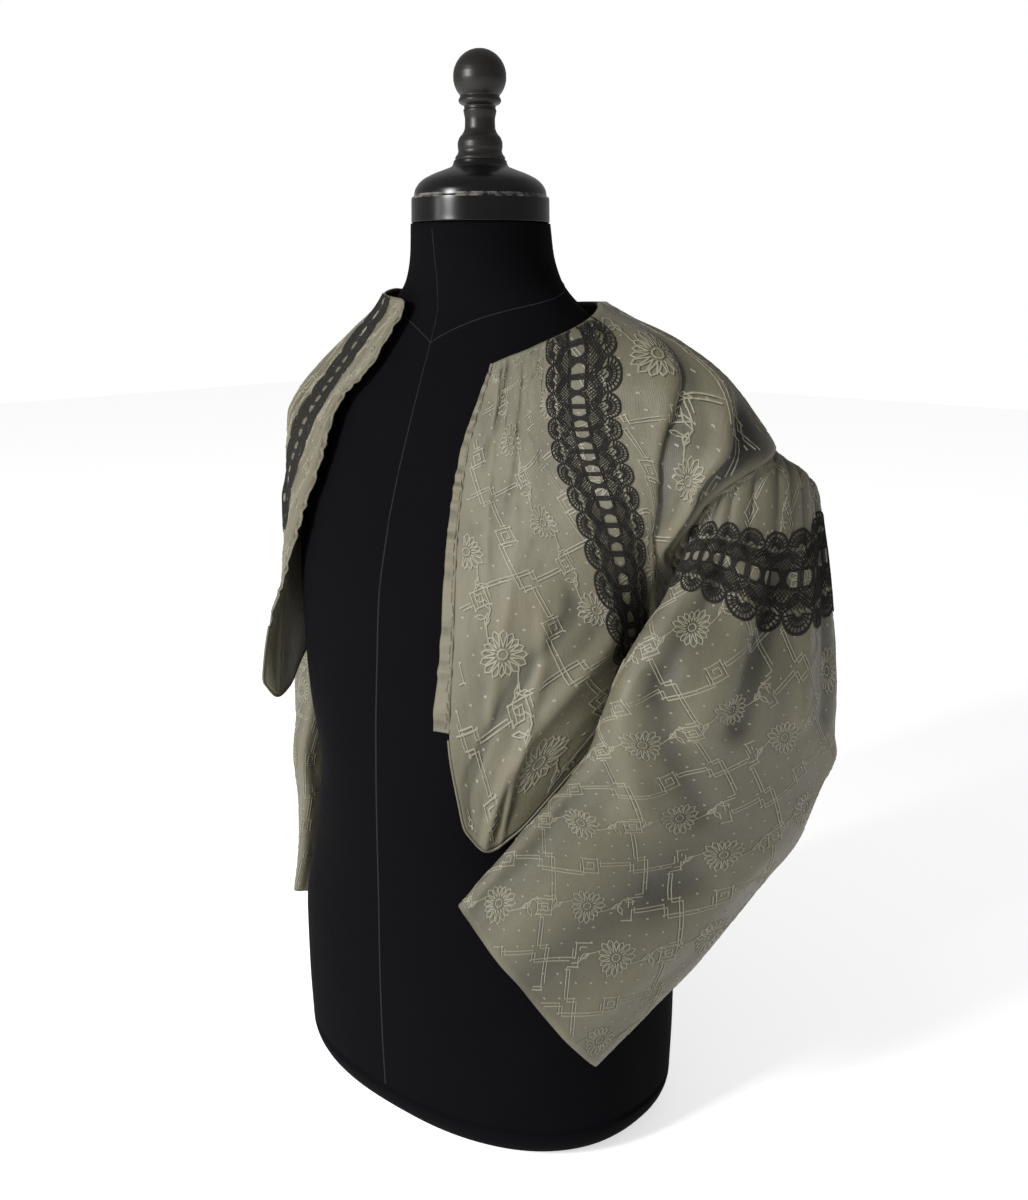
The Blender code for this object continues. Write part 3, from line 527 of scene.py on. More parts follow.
SILK = silk("silk", warm=(0.119, 0.105, 0.065), cool=(0.103, 0.096, 0.065))
# Two copies of the silk for the woven figure: a dark one, the painted shadow beside each rib, and a light one for
# the ribs, a real woven pattern made lighter than the ground as their painted highlight.
RIB_SHADOW = silk("silk_rib_shadow", warm=(0.048, 0.041, 0.026), cool=(0.043, 0.040, 0.028), relief=0.3)
FIGURE = silk("silk_figure", warm=(0.240, 0.219, 0.154), cool=(0.224, 0.210, 0.154), relief=0.3)
THREAD = plain("lace_thread", (0.0150, 0.0140, 0.0125), 0.8, grain=0.3, scale=900.0, specular=0.15)
STITCH = plain("stitch_thread", (0.075, 0.050, 0.028), 0.7, grain=0.3, scale=900.0)
COVER = plain("form_cover", (0.0026, 0.0026, 0.0032), 0.9, grain=0.25, scale=900.0, specular=0.03)
SEAM_LINE = plain("form_seam", (0.012, 0.012, 0.014), 0.9, specular=0.15)
# A lighter ring round the cap at its step, between these two heights.
LIGHT_STEP_BAND = ((0.13, 0.12, 0.11), 0.7305, 0.7335)
LACQUER = plain("lacquer", (0.0035, 0.0035, 0.0042), 0.24, 0.06, 60.0, lighter_band=LIGHT_STEP_BAND, specular=0.26)
WOOD = plain("turned_wood", (0.010, 0.0085, 0.0075), 0.38, grain=0.15, scale=180.0, specular=0.28)
print("materials", len(bpy.data.materials))

# %% [markdown]
# ## The dress form
#
# The torso is a stack of rounded squares on a cut-off base. The cap and the finial are turned: a profile of
# radius and height, spun round.

# %% Dress form
def spun(grid):
    """Points and outward quads of a stack of rings, closed by a fan from the middle of its first and last."""
    grid = np.concatenate([grid[:1] * 0 + grid[0].mean(axis=0), grid, grid[-1:] * 0 + grid[-1].mean(axis=0)])
    faces, _, _ = quads(*grid.shape[:2], closed=True)
    points = grid.reshape(-1, 3)
    out = points - np.repeat(grid.mean(axis=1), grid.shape[1], axis=0)
    return points, turned_out(points, faces, out)


def add_form(around=160, rings=150, steps=12):
    """Rings up to the neck, the first few on a quarter circle: inset R(1 - sin t) at height R(1 - cos t)."""
    angle = np.linspace(0, 360, around, endpoint=False)
    z = np.concatenate([np.full(steps, BASE_ROUND), np.linspace(BASE_ROUND, FORM_TOP, rings)])
    quarter = np.linspace(0, math.pi / 2, steps)
    inset = np.concatenate([BASE_ROUND * (1 - np.sin(quarter)), np.zeros(rings)])
    grid = form_point(angle[None, :], z[:, None], -inset[:, None])
    grid[:steps, :, 2] = (BASE_ROUND * (1 - np.cos(quarter)))[:, None]
    torso = add_mesh("form_cover", *spun(grid), COVER)
    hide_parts("form_torso")


def add_turned(name, profile, look, node, around=64):
    """A smooth profile of (radius, height) spun round the form's axis: (r cos t, r sin t, z)."""
    profile = np.asarray(profile)
    smooth = through(profile, np.linspace(0, len(profile) - 1, 8 * len(profile)))
    turn = np.linspace(0, 2 * math.pi, around, endpoint=False)
    r, z = smooth[:, :1], smooth[:, 1:] + 0 * turn
    grid = np.stack([r * np.cos(turn), r * np.sin(turn) + AXIS_BACK, z], -1)
    piece = add_mesh(name, *spun(grid), look)
    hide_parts(node)


# Profiles, (radius, height) from the bottom up. The finial's ball is an arc from where the neck meets it.

CAP = [(0.0515, CAP_BOTTOM), (0.0524, 0.7140), (0.0523, 0.7170), (0.0521, 0.7290), (0.0520, 0.7308),
       (0.0514, 0.7318), (0.0501, 0.7322), (0.0500, 0.7332), (0.0494, 0.7365), (0.0472, 0.7405), (0.0430, 0.7445),
       (0.0350, 0.7486), (0.0270, 0.7516), (0.0214, 0.7540), (0.0203, 0.7560), (0.0198, 0.7582)]
FINIAL_NECK = [(0.0186, 0.7585), (0.0188, 0.7600), (0.0180, 0.7615), (0.0170, 0.7628), (0.0164, 0.7650),
               (0.0168, 0.7680), (0.0168, 0.7705), (0.0156, 0.7742), (0.0128, 0.7778), (0.0114, 0.7815),
               (0.0112, 0.7870), (0.0119, 0.7912), (0.0123, 0.7935), (0.0117, 0.7952), (0.0118, 0.7966),
               (0.0148, 0.7983), (0.0159, 0.8005), (0.0152, 0.8024), (0.0146, 0.8036)]
ball = [(BALL_RADIUS * math.cos(t), BALL_CENTRE + BALL_RADIUS * math.sin(t))
        for t in (math.radians(-42 + step * 9.4) for step in range(15))]

add_form()
add_turned("neck_cap", CAP, LACQUER, "form_neck_cap")
add_turned("finial", FINIAL_NECK + ball, WOOD, "form_finial")

# %% [markdown]
# The cover is sewn from panels. Two of its seams show: one down the middle of the front, and a shallow V round the
# root of the neck. Each is a low raised line, drawn in angle and height and then read off the form.

# %% Seams of the cover
def on_form(flat):
    """(angle, height in mm) to a point and a normal of the form."""
    angle, z = flat[..., 0], flat[..., 1] / 1000
    spot = form_point(angle, z)
    across, up = form_point(angle + 0.5, z) - spot, form_point(angle, z + 0.001) - spot
    out = np.cross(across, up)
    out *= np.sign(np.sum(out * (spot * np.array([1, 1, 0])), axis=-1, keepdims=True))
    return spot, out / np.linalg.norm(out, axis=-1, keepdims=True)


lines = [pieces_of([(-90.0, z) for z in np.linspace(34, 708, 60)], 20)]
for s in (1, -1):
    lines.append(pieces_of([(-90 + s * a, 626 + 34 * (a / 90) ** 0.8) for a in np.linspace(0, 180, 46)], 20))
seams = add_threads("form_seams", on_form, np.concatenate(lines), 0.7, 0.0004, SEAM_LINE)

# %% [markdown]
# ## Creases
#
# A crease is a soft ridge or trough along a line in the table's own coordinates: e^-(gap/width)², faded at both
# ends. Fine, uneven waviness comes from a few long sine waves of random direction.

# %% Creases
CREASE_FADE = 0.35  # levels over which a crease dies away past its ends
FRONT_CELL, BACK_CELL = (45.0, 45.0), (60.0, 40.0)  # width and length of a cell of the table on the cloth, in mm
FRONT_DEPTH, LOOSE_DEPTH, BACK_DEPTH = 2.2, 7.0, 2.0  # deepest trough in mm, and what the loose side adds to it


def creases(table, a, b, wrap=False):
    """Sum over the table's rows (a0, b0, a1, b1, half-width, height in mm, bend) of height · e^-(gap/width)²."""
    lift = np.zeros(np.broadcast(a, b).shape)
    for a0, b0, a1, b1, wide, high, bend in table:
        along = np.clip((b - b0) / (b1 - b0), 0, 1)
        gap = a - (a0 + (a1 - a0) * along + bend * np.sin(along * math.pi))
        if wrap:
            gap = (gap + 0.5) % 1.0 - 0.5
        past = np.maximum(np.maximum(b0 - b, b - b1), 0)
        lift += high * np.exp(-((gap / wide) ** 2) - (past / CREASE_FADE) ** 2)
    return lift


def waviness(x, y, shortest, longest, count, high):
    """Sum of sin(2π(x cos a + y sin a)/length + phase), each with a random direction, length and phase."""
    total = np.zeros(np.broadcast(x, y).shape)
    for _ in range(count):
        turn, phase = random.uniform(0, math.pi), random.uniform(0, 2 * math.pi)
        length = random.uniform(shortest, longest)
        total += np.sin(2 * math.pi * (x * math.cos(turn) + y * math.sin(turn)) / length + phase) * length
    return total * high / (count**0.5 * longest)


# (column, level) of both ends, half-width in columns, height in mm, bend

FRONT_CREASES = {
    1: [
        (3.2, 4.8, 0.9, 7.0, 0.20, 5.0, 0.1), (2.6, 4.6, 0.3, 6.6, 0.16, -3.0, 0.1),
        (2.1, 5.0, 1.6, 7.0, 0.10, 2.8, 0.1), (5.02, 0.7, 4.9, 3.2, 0.16, -6.0, -0.15),
        (5.42, 0.5, 5.30, 2.9, 0.12, 6.5, 0.15), (5.76, 0.7, 5.66, 2.7, 0.16, -9.0, 0.1),
        (3.3, 5.2, 3.55, 6.1, 0.07, -3.6, 0.0), (4.5, 0.2, 4.7, 3.5, 0.20, 3.0, 0.1),
        (1.2, 0.1, 0.7, 2.0, 0.14, -1.8, 0.1), (0.6, 0.3, 1.0, 4.0, 0.12, 1.4, 0.1),
        (4.3, 4.0, 4.0, 6.6, 0.20, 3.4, 0.1), (2.6, 1.0, 1.8, 4.0, 0.22, 1.7, 0.1),
        (4.7, 2.2, 3.9, 5.2, 0.16, -3.0, 0.2), (1.7, 3.2, 1.2, 5.6, 0.14, 1.6, 0.1),
        (2.0, 0.6, 1.6, 3.0, 0.10, -1.5, 0.1),
    ],
    -1: [
        (2.0, 0.4, 1.2, 2.2, 0.45, 2.2, 0.0), (1.5, 3.0, 2.2, 6.0, 0.4, 2.0, 0.0),
        (0.8, 0.6, 1.6, 2.6, 0.2, -1.8, 0.1), (5.0, 0.7, 4.9, 3.2, 0.22, -2.6, -0.15),
        (5.4, 0.6, 5.4, 2.9, 0.16, 3.2, 0.15), (4.4, 3.6, 4.0, 6.6, 0.25, 2.0, 0.1),
        (2.6, 4.6, 1.2, 6.8, 0.2, -1.8, 0.1), (0.5, 2.6, 1.0, 5.0, 0.2, 1.4, 0.1),
    ],
}


def front_sheet(side, rows=160, columns=121):
    """One front: its table smoothed both ways, laid on the body's surface and creased."""
    at, across = np.linspace(0, 7, rows), np.linspace(0, 6, columns)
    table = through(np.array(FRONT[side], float), at)
    places = through(table.transpose(1, 0, 2), across).transpose(1, 0, 2)
    a, b = across[None, :], at[:, None]
    flare = through(FRONT_FLARE[side], at)[:, None] * np.clip(1 - across / 4.5, 0, 1)[None, :] ** 1.3
    x, y = a * FRONT_CELL[0], b * FRONT_CELL[1]
    lift = creases(FRONT_CREASES[side], a, b) + waviness(x, y, 30, 110, 7, 0.9)
    lift += waviness(x, y, 9, 22, 7, 0.22)
    edge = np.clip(np.minimum(np.minimum(a, 6 - a) / 0.5, np.minimum(b, 7 - b) / 0.4 + 0.25), 0, 1)
    loose = np.clip((a - 4.2) / 0.6, 0, 1) * np.clip((b - 0.3) / 0.5, 0, 1)
    lift = np.maximum(lift, -FRONT_DEPTH - LOOSE_DEPTH * loose) * edge
    angle = places[..., 0] if side > 0 else -180 - places[..., 0]
    return Sheet(body_point(angle, places[..., 1], flare + lift / 1000), at, across), lift


def armhole(side, share):
    """Point of the armhole's edge. share runs round it from the top: 0.25 front, 0.5 underarm, 0.75 back."""
    front = [row[6] for row in FRONT[side]][:5]
    back = BACK_SIDE[side][:5]
    level = np.where(share <= 0.5, share * 8, (1 - share) * 8)
    pairs = np.where((share <= 0.5)[:, None], through(front, level), through(back, level))
    angle = pairs[:, 0] if side > 0 else 180 - pairs[:, 0]
    return body_point(angle, pairs[:, 1])


def sleeve_ring(side, row, share):
    """p = centre + sin(t)·half + cos(t)·depth·outward, with its outer and inner sides tilted up or down."""
    front, back, out, into, rise, drop = row
    front, back = np.array(front), np.array(back)
    half = (front - back) / 2
    outward = np.cross(half, np.array([0.0, 0.0, 1.0]))
    outward *= np.sign(outward[0]) / np.linalg.norm(outward)
    swing = np.cos(share * 2 * math.pi)
    ring = (front + back) / 2 + np.sin(share * 2 * math.pi)[:, None] * half
    ring += (swing * np.where(swing > 0, out, into))[:, None] * outward
    ring[:, 2] += np.where(swing > 0, rise, drop) * swing
    ring[:, 0] *= side
    return ring


# (share round the sleeve, row) of both ends, half-width in shares, height in mm, bend

SLEEVE_CREASES = {
    1: [
        (0.015, 2.6, 0.03, 5.2, 0.020, -4.0, 0.01), (0.06, 2.6, 0.08, 5.6, 0.030, 2.4, 0.0),
        (-0.05, 2.4, -0.06, 4.6, 0.022, 2.2, 0.0), (0.13, 2.6, 0.16, 5.0, 0.025, -2.0, 0.01),
        (-0.12, 1.2, -0.13, 4.4, 0.025, -2.6, 0.0), (0.21, 5.0, 0.10, 7.6, 0.035, 2.6, 0.02),
        (0.16, 4.6, 0.03, 7.2, 0.030, -2.4, 0.02), (-0.20, 5.4, -0.06, 7.8, 0.035, 3.0, 0.0),
        (-0.16, 6.0, -0.02, 8.6, 0.030, -2.6, 0.0), (0.10, 7.4, 0.08, 11.0, 0.035, 1.8, 0.0),
        (0.00, 8.0, 0.02, 11.0, 0.030, -1.8, 0.0), (-0.10, 7.6, -0.08, 11.0, 0.035, 1.8, 0.0),
        (0.19, 8.0, 0.17, 10.8, 0.030, -1.4, 0.0), (0.4, 5.0, 0.5, 8.0, 0.04, -2.6, 0.0),
        (0.6, 5.0, 0.55, 8.5, 0.04, 2.6, 0.0),
    ],
    -1: [
        (0.02, 2.6, 0.03, 6.0, 0.025, -3.4, 0.01), (0.10, 2.4, 0.08, 7.0, 0.035, 2.4, 0.0),
        (-0.08, 2.6, -0.06, 6.6, 0.030, 2.4, 0.0), (0.20, 3.0, 0.12, 8.0, 0.035, -2.2, 0.0),
        (-0.18, 3.0, -0.12, 8.0, 0.035, -2.4, 0.0), (0.28, 5.5, 0.24, 11.0, 0.03, 2.2, 0.01),
        (0.00, 8.0, 0.02, 11.0, 0.035, 1.8, 0.0), (0.4, 5.0, 0.45, 9.0, 0.04, -2.4, 0.0),
        (0.6, 5.0, 0.58, 9.0, 0.04, 2.2, 0.0),
    ],
}


# Heights in mm. SLEEVE_WAVES: (waves round, turn of phase a row, height, whether its phase is mirrored).
# PLEAT_FADE: rows, and the share of the gathers' height there

GATHER_HIGH, CREASE_GAIN, SWELL = 4.6, 1.7, 0.6
SLEEVE_WAVES = [(1, 0.5, 1.0, True), (2, 0.8, 0.9, True), (3, 0.6, 0.8, True), (4, 1.3, 0.5, True),
                (5, 0.9, 0.5, True), (7, 1.7, 0.3, True), (13, 3.1, 0.16, False), (17, -2.7, 0.14, False),
                (23, 4.3, 0.10, False), (29, -5.2, 0.08, False)]
PLEAT_FADE = [0, 0.25, 1.3, 2.2, 3.4], [0.25, 1.0, 0.85, 0.35, 0.0]


def sleeve_sheet(side, rows=140, around=198):
    """One sleeve: rings from the armhole to the cuff, gathered at the top, creased, and soft at the edge folds."""
    share = np.arange(around) / around
    edge = armhole(side, share)
    middle = edge.mean(axis=0)
    tucked = middle + (edge - middle) * 0.990 - np.array([0.0010 * side, 0.0, 0.0008])
    at = np.concatenate([np.linspace(0, 3, 55), np.linspace(3, 11, rows - 54)[1:]])
    grid = through(np.stack([tucked] + [sleeve_ring(side, row, share) for row in SLEEVE[side]]), at)
    a, b = share[None, :], at[:, None]
    turn = share * 2 * math.pi
    warp = 0.35 * np.sin(turn * 2 + 1.0) + 0.25 * np.sin(turn * 5 + side)
    pleats = np.sqrt(np.abs(np.sin(turn * GATHERS + 2.2 * warp))) - 0.75
    fade = np.interp(at, *PLEAT_FADE)
    lift = GATHER_HIGH * fade[:, None] * (pleats * (0.45 + 0.55 * np.cos(turn) ** 2))[None, :]
    lift += CREASE_GAIN * creases(SLEEVE_CREASES[side], (a + 0.5) % 1.0 - 0.5, b, wrap=True) * np.clip(b, 0, 1)
    wave = np.zeros_like(lift)
    for n, m, high, mirrored in SLEEVE_WAVES:
        phase = random.uniform(0, 6.28) * (side if mirrored else 1)
        wave += high * np.sin(n * turn[None, :] + m * b + phase)
    swell = SWELL * wave * np.clip(b / 2, 0, 1)
    grid = grid + normals_of(grid, True) * (lift + swell)[..., None] / 1000
    return Sheet(grid, at, share, closed=True), lift


def back_sheet(rows=110, columns=150):
    """The back, its sides shared with the fronts and the armholes, with long soft folds below the shoulders."""
    at, across = np.linspace(0, 7, rows), np.linspace(0, 6, columns)
    right = [(180 - a, z) for a, z in BACK_SIDE[-1]]
    table = np.array([BACK_SIDE[1]] + list(BACK_INNER.values()) + [right], float)
    places = through(table, across)
    places = through(places.transpose(1, 0, 2), at)
    a, b = across[None, :], at[:, None]
    inside = np.clip(np.minimum(a, 6 - a), 0, 1)
    lift = 2.5 * np.sin(a * 4.3 + 0.6) * inside * np.clip(b / 3 - 0.6, 0, 1)
    x, y = a * BACK_CELL[0], b * BACK_CELL[1]
    lift = lift + waviness(x, y, 50, 160, 6, 1.0) * inside * np.clip(b, 0, 1)
    lift = np.maximum(lift + waviness(x, y, 12, 26, 6, 0.2) * inside, -BACK_DEPTH)
    return Sheet(body_point(places[..., 0], places[..., 1], lift / 1000), at, across), lift


print("creases of a front and a sleeve", [len(table[1]) for table in (FRONT_CREASES, SLEEVE_CREASES)])

# %% [markdown]
# ## The woven figure
#
# The damask repeats a leaning lattice of double lines. Each line is broken by a key square with a hook inside, a
# flower with leaf sprays fills every field, and dots lie in rows between them. It is drawn flat in millimetres, on
# two axes that aren't square to each other. On the loom the figure's threads float over the ground, so each line
# is a fine raised rib here, with a dark line beside it for its shade.

# %% Damask figure
FIELD = np.array([64.0, 66.0])  # sides of one field of the lattice
LATTICE = np.array([[0.930, -0.367], [0.292, 0.956]])  # directions of the two sides
FLOWER_SPOT = FIELD / 2 + [1.0, 2.0]
FLOWER_SIZE, FLOWER_TURN, KEY_HALF, DOTS_CLEAR = 12.5, 0.9, 5.2, 17.0  # the dots keep clear of the flower's middle
BACK_LEAN, FRONT_LEAN, SLEEVE_LEAN = 0.05, -0.10, -0.44  # turn of the lattice on each cut, in radians
RIB_WIDE, DOT_WIDE, RIB_HIGH = 0.85, 1.3, 0.00035
# The painted shadow line beside each rib: width and offset in mm, rise in metres.
RIB_SHADOW_WIDE, RIB_SHADOW_HIGH, RIB_SHADOW_ASIDE = 0.50, 0.00012, 0.62
FIGURE_LIFT = CLOTH / 2 + 0.00008


def square_hook(x, y, half):
    """A key square: a square with a smaller one inside that is open at a corner, as a hook."""
    outer = [(x + a * half, y + b * half) for a, b in ((-1, -1), (1, -1), (1, 1), (-1, 1), (-1, -1))]
    inner = half * 0.45
    hook = [(x - inner, y + half)]
    hook += [(x + a * inner, y + b * inner) for a, b in ((-1, -1), (1, -1), (1, 1), (0, 1))]
    return [outer, hook]


def polar(x, y, radius, angle):
    """(x + r cos a, y + r sin a)."""
    return x + radius * math.cos(angle), y + radius * math.sin(angle)


def flower(x, y, size, turn):
    """Sixteen outlined petals round a ring, tip at size(1 + 0.1 sin 3a), with two leaf sprays on bent stems."""
    paths = []
    for a in (turn + k * math.pi / 8 for k in range(16)):
        tip = size * (1.0 + 0.10 * math.sin(3 * a))
        foot, cheeks = polar(x, y, 0.36 * size, a), [polar(x, y, 0.84 * tip, a + s) for s in (0.17, -0.17)]
        paths.append([foot, cheeks[0], polar(x, y, tip, a), cheeks[1], foot])
    paths.append([polar(x, y, 0.22 * size, t) for t in np.linspace(0, 2 * math.pi, 9)])
    for s in (1, -1):
        paths.append([polar(x, y, s * (size + 14 * t), turn + 0.5 * t) for t in (0, 0.5, 1)])
        for t, lean in ((0.4, 0.9), (0.7, -0.8), (1.0, 0.1)):
            foot = polar(x, y, s * (size + 14 * t), turn + 0.5 * t)
            d = turn + lean + (0 if s > 0 else math.pi)
            paths += [[foot, polar(*foot, 4.5, d + w), polar(*foot, 8, d)] for w in (0.35, -0.35)]
    return paths


def figure_repeat():
    """(polylines on the lattice's axes, polylines of the flower) of one field, about its own corner."""
    wide, high = FIELD
    lines = []
    for gap in (0.0, 2.3):
        near, far = wide / 2 - 7.0 + gap, wide / 2 + 5.0 + gap
        lines.append([(3.0 + gap, gap), (near, gap), (near, gap + 4.0)])
        lines.append([(far, gap - 1.0), (far, gap - 7.0), (wide + 3.0 + gap, gap - 7.0), (wide + 3.0 + gap, gap)])
        near, far = high / 2 - 7.0 + gap, high / 2 + 5.0 + gap
        lines.append([(gap, 3.0 + gap), (gap, near), (gap + 4.0, near)])
        lines.append([(gap - 1.0, far), (gap - 7.0, far), (gap - 7.0, high + 3.0 + gap), (gap, high + 3.0 + gap)])
    lines += square_hook(wide / 2, 0.0, KEY_HALF) + square_hook(0.0, high / 2, KEY_HALF)
    return lines, flower(*(FLOWER_SPOT @ LATTICE), FLOWER_SIZE, FLOWER_TURN)


def figure_dots():
    """Middles of the dots of one field, on its own axes: rows that leave out the flower and the lines."""
    places = np.arange(0.5, 6) / 6
    spots = np.stack(np.meshgrid(places, places), axis=-1).reshape(-1, 2) * FIELD
    return spots[np.linalg.norm((spots - FLOWER_SPOT) @ LATTICE, axis=1) > DOTS_CLEAR]


def figure_segments(sheet, lean, margin=4.0, fields=14):
    """Lines and dots of the field, tiled over a sheet by the lattice, turned by lean and cut off at the edges."""
    lines, petals = figure_repeat()
    base = np.concatenate([pieces_of(p, 5.0) @ LATTICE for p in lines] + [pieces_of(p, 5.0) for p in petals])
    base_dots = figure_dots() @ LATTICE
    width, length = sheet.x[-1], sheet.y[-1]
    turned = np.array([[math.cos(lean), math.sin(lean)], [-math.sin(lean), math.cos(lean)]])
    found, dots = [], []
    for m in range(-fields, fields + 1):
        for n in range(-fields, fields + 1):
            corner = (FIELD * [m, n]) @ LATTICE @ turned + np.array([width, length]) / 2
            found.append(corner + base @ turned)
            spots = corner + base_dots @ turned
            dots.append(np.stack([spots, spots + [0.9, 0.2]], axis=1))
    segments, dots = np.concatenate(found), np.concatenate(dots)

    def inside(s):
        """Whether both ends lie a margin inside the cut, or anywhere round it where it is closed."""
        edge = np.array([0.0 if sheet.closed else margin, margin])
        return ((s > edge) & (s < np.array([width, length]) - edge)).all(axis=(1, 2))

    return segments[inside(segments)], dots[inside(dots)]


def add_figure(name, sheet, lean):
    """The ribs and dots of the figure on a sheet, and the painted shadow line a little aside of each rib."""
    lines, dots = figure_segments(sheet, lean)
    widths = np.concatenate([np.full(len(lines), RIB_WIDE), np.full(len(dots), DOT_WIDE)])
    both = np.concatenate([lines, dots])
    ribs = add_threads(name, sheet.at_flat, both, widths, RIB_HIGH, FIGURE, FIGURE_LIFT)
    # Painted shadow: a dark copy of each line, moved a little aside.
    beside = lines + RIB_SHADOW_ASIDE
    rib_shadows = add_threads(name + "_rib_shadow", sheet.at_flat, beside, RIB_SHADOW_WIDE, RIB_SHADOW_HIGH, RIB_SHADOW, FIGURE_LIFT)
    return [ribs, rib_shadows]


print("figure's paths in one field", [len(paths) for paths in figure_repeat()], "dots", len(figure_dots()))

# %% [markdown]
# ## Lace
#
# One repeat of the lace has two windows with a bar between them, a long diamond round the pair, a zigzag braid
# and net ground on each side, and a ribbed shell that makes the scalloped edge. u runs across the strip from 0
# to 1 and v along it, one unit for each repeat.

# %% Lace drawing
LACE_WIDE = 58.0
THREAD_HIGH = 0.0005
LACE_LIFT = CLOTH / 2 + 0.0006  # clear of the figure's ribs
NET_SPACING, NET_WIDE = 2.2, 0.42


def lace_paths(pitch):
    """(polyline, thread width) of one repeat in millimetres, for the half from the middle to one edge."""
    w, p = LACE_WIDE, pitch
    found = []
    for s0, width in ((0.375, 1.5), (0.34, 0.8)):
        found.append(([(0.5 * w, -0.06 * p), (s0 * w, 0.10 * p), (s0 * w, 0.76 * p), (0.5 * w, 0.92 * p)], width))
    for t in (0.36, 0.43, 0.50, 0.86, 0.93, 1.0):
        found.append(([(0.5 * w, t * p), (0.375 * w, t * p)], 1.0 if t in (0.36, 0.50, 0.86, 1.0) else 1.3))
    for foot, bend, width in ((0.225, 0.33, 1.1), (0.195, 0.30, 0.8), (0.165, 0.27, 1.1)):
        found.append(([(foot * w, -0.07 * p), (bend * w, 0.43 * p), (foot * w, 0.93 * p)], width))

    def shell(degrees, share):
        """Point of the scallop at a share of its size: an ellipse round its hub, behind the braid."""
        a = np.radians(degrees)
        return 0.170 * w + np.cos(a) * 0.162 * w * share, 0.43 * p + np.sin(a) * 0.50 * p * share

    for a in np.linspace(101, 259, 11):
        found.append(([shell(a, 0.22), shell(a, 1.0)], 0.75))
    for share, width in ((0.36, 0.8), (0.66, 0.7), (1.0, 1.5)):
        found.append(([shell(a, share) for a in np.linspace(94, 266, 13)], width))
    for t in np.linspace(0.05, 0.85, 5):
        found.append(([(0.165 * w, (t - 0.07) * p), (0.20 * w, (t + 0.03) * p)], 0.6))
    return found


def lace_segments(count, pitch):
    """The repeat and its mirror image, count times along, and the net ground across all of them."""
    cuts = [(pieces_of(path, 3.0), width) for path, width in lace_paths(pitch)]
    base = np.concatenate([cut for cut, _ in cuts])
    base = np.concatenate([base, base * [-1, 1] + [LACE_WIDE, 0]])
    thick = np.concatenate([np.full(len(cut), width) for cut, width in cuts])
    net = []
    for low, high in ((0.20, 0.375), (0.625, 0.80)):
        run = (high - low) * LACE_WIDE
        for lean in (1, -1):
            for start in np.arange(-run, count * pitch + run, NET_SPACING):
                net.append(pieces_of([(low * LACE_WIDE, start), (high * LACE_WIDE, start + lean * run)], 3.4))
    segments = np.concatenate([base + [0, k * pitch] for k in range(count)] + net)
    thick = np.tile(thick, 2 * count)
    thick = np.append(thick, np.full(len(segments) - len(thick), NET_WIDE))
    keep = ((segments[..., 1] > 0) & (segments[..., 1] < count * pitch)).all(1)
    return segments[keep], thick[keep]


def add_lace(name, sheet, node, count, pitch, places):
    """A lace strip on a sheet. places turns (u, v) into the sheet's table row and column."""
    segments, widths = lace_segments(count, pitch)

    def place(flat):
        """Points and normals at places of the strip in millimetres."""
        return sheet.at_table(*places(flat[..., 0] / LACE_WIDE, flat[..., 1] / pitch))

    piece = add_threads(name, place, segments, widths, THREAD_HIGH, THREAD, LACE_LIFT)
    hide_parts(node)
    return piece


# Where the repeats start down a front, and where the lace's quarters lie across a front and down a sleeve

LEVELS = np.concatenate([np.linspace(0, 6, 14), np.linspace(6, 7, 4)[1:]])
FRONT_COLUMNS = (3.0, 3.38, 3.62, 4.0)
SLEEVE_ROWS = (1.55, 2.05, 2.32, 2.88)
FRONT_LACE = {"count": 16, "pitch": 19.5}
SLEEVE_LACE = {"count": 18, "pitch": 20.5}


def front_places(u, v):
    """(level, column) of the front's table: v down the front, u across the lace."""
    return np.interp(v, np.arange(len(LEVELS)), LEVELS), np.interp(3 * u, np.arange(4), FRONT_COLUMNS)


def sleeve_places(u, v):
    """(row, share) of the sleeve's table: v round it from its inner side, u down it, lower by 0.42 cos³ outside."""
    share = (v / SLEEVE_LACE["count"] + 0.5) % 1.0
    droop = 0.42 * np.clip(np.cos((share - 0.01) * 2 * math.pi), 0, 1) ** 3
    return np.interp(3 * u, np.arange(4), SLEEVE_ROWS) + droop, share


for strip in (FRONT_LACE, SLEEVE_LACE):
    print("lace", strip, "segments", len(lace_segments(**strip)[0]))


# %% [markdown]
# ## Bands, piping and stitches
#
# Each front edge is finished by a narrow folded strip, gathered by a row of hand stitches. The strip's width is a
# small angle on the body's surface, and its puckers are sines whose argument runs at an uneven pace, as a hand
# sews. A covered cord closes the foot of each lappet.

# %% Trims
def band_sheet(side):
    """The narrow band along the front edge: height 0.75 sin(0.31 s) + 0.45 sin(0.53 s + 1.3), s uneven in pace."""
    at = np.linspace(0, 6, 340)
    edge = through(np.array([row[0] for row in FRONT[side]], float), at)
    width = through(BAND_WIDTH[side], at)[:, None]
    flare = through(FRONT_FLARE[side], at)[:, None]
    share = np.linspace(-0.06, 1, 9)[None, :]
    run = np.cumsum(1 + 0.4 * np.sin(at * 5.1) + 0.3 * np.sin(at * 11.7 + 2))[:, None]
    pucker = 0.75 * np.sin(run * 0.31) + 0.45 * np.sin(run * 0.53 + 1.3)
    lift = pucker * (0.35 + 0.65 * np.sin(share.clip(0, 1) * math.pi * 0.8)) + 0.35
    angle = edge[:, :1] - 0.1 - (width - 0.1) * share - 0.10 * np.sin(run * 0.27) * share.clip(0, 1)
    if side < 0:
        angle = -180 - angle
    z = edge[:, 1:] + 0 * share
    return Sheet(body_point(angle, z, flare + lift / 1000), at, share[0]), lift


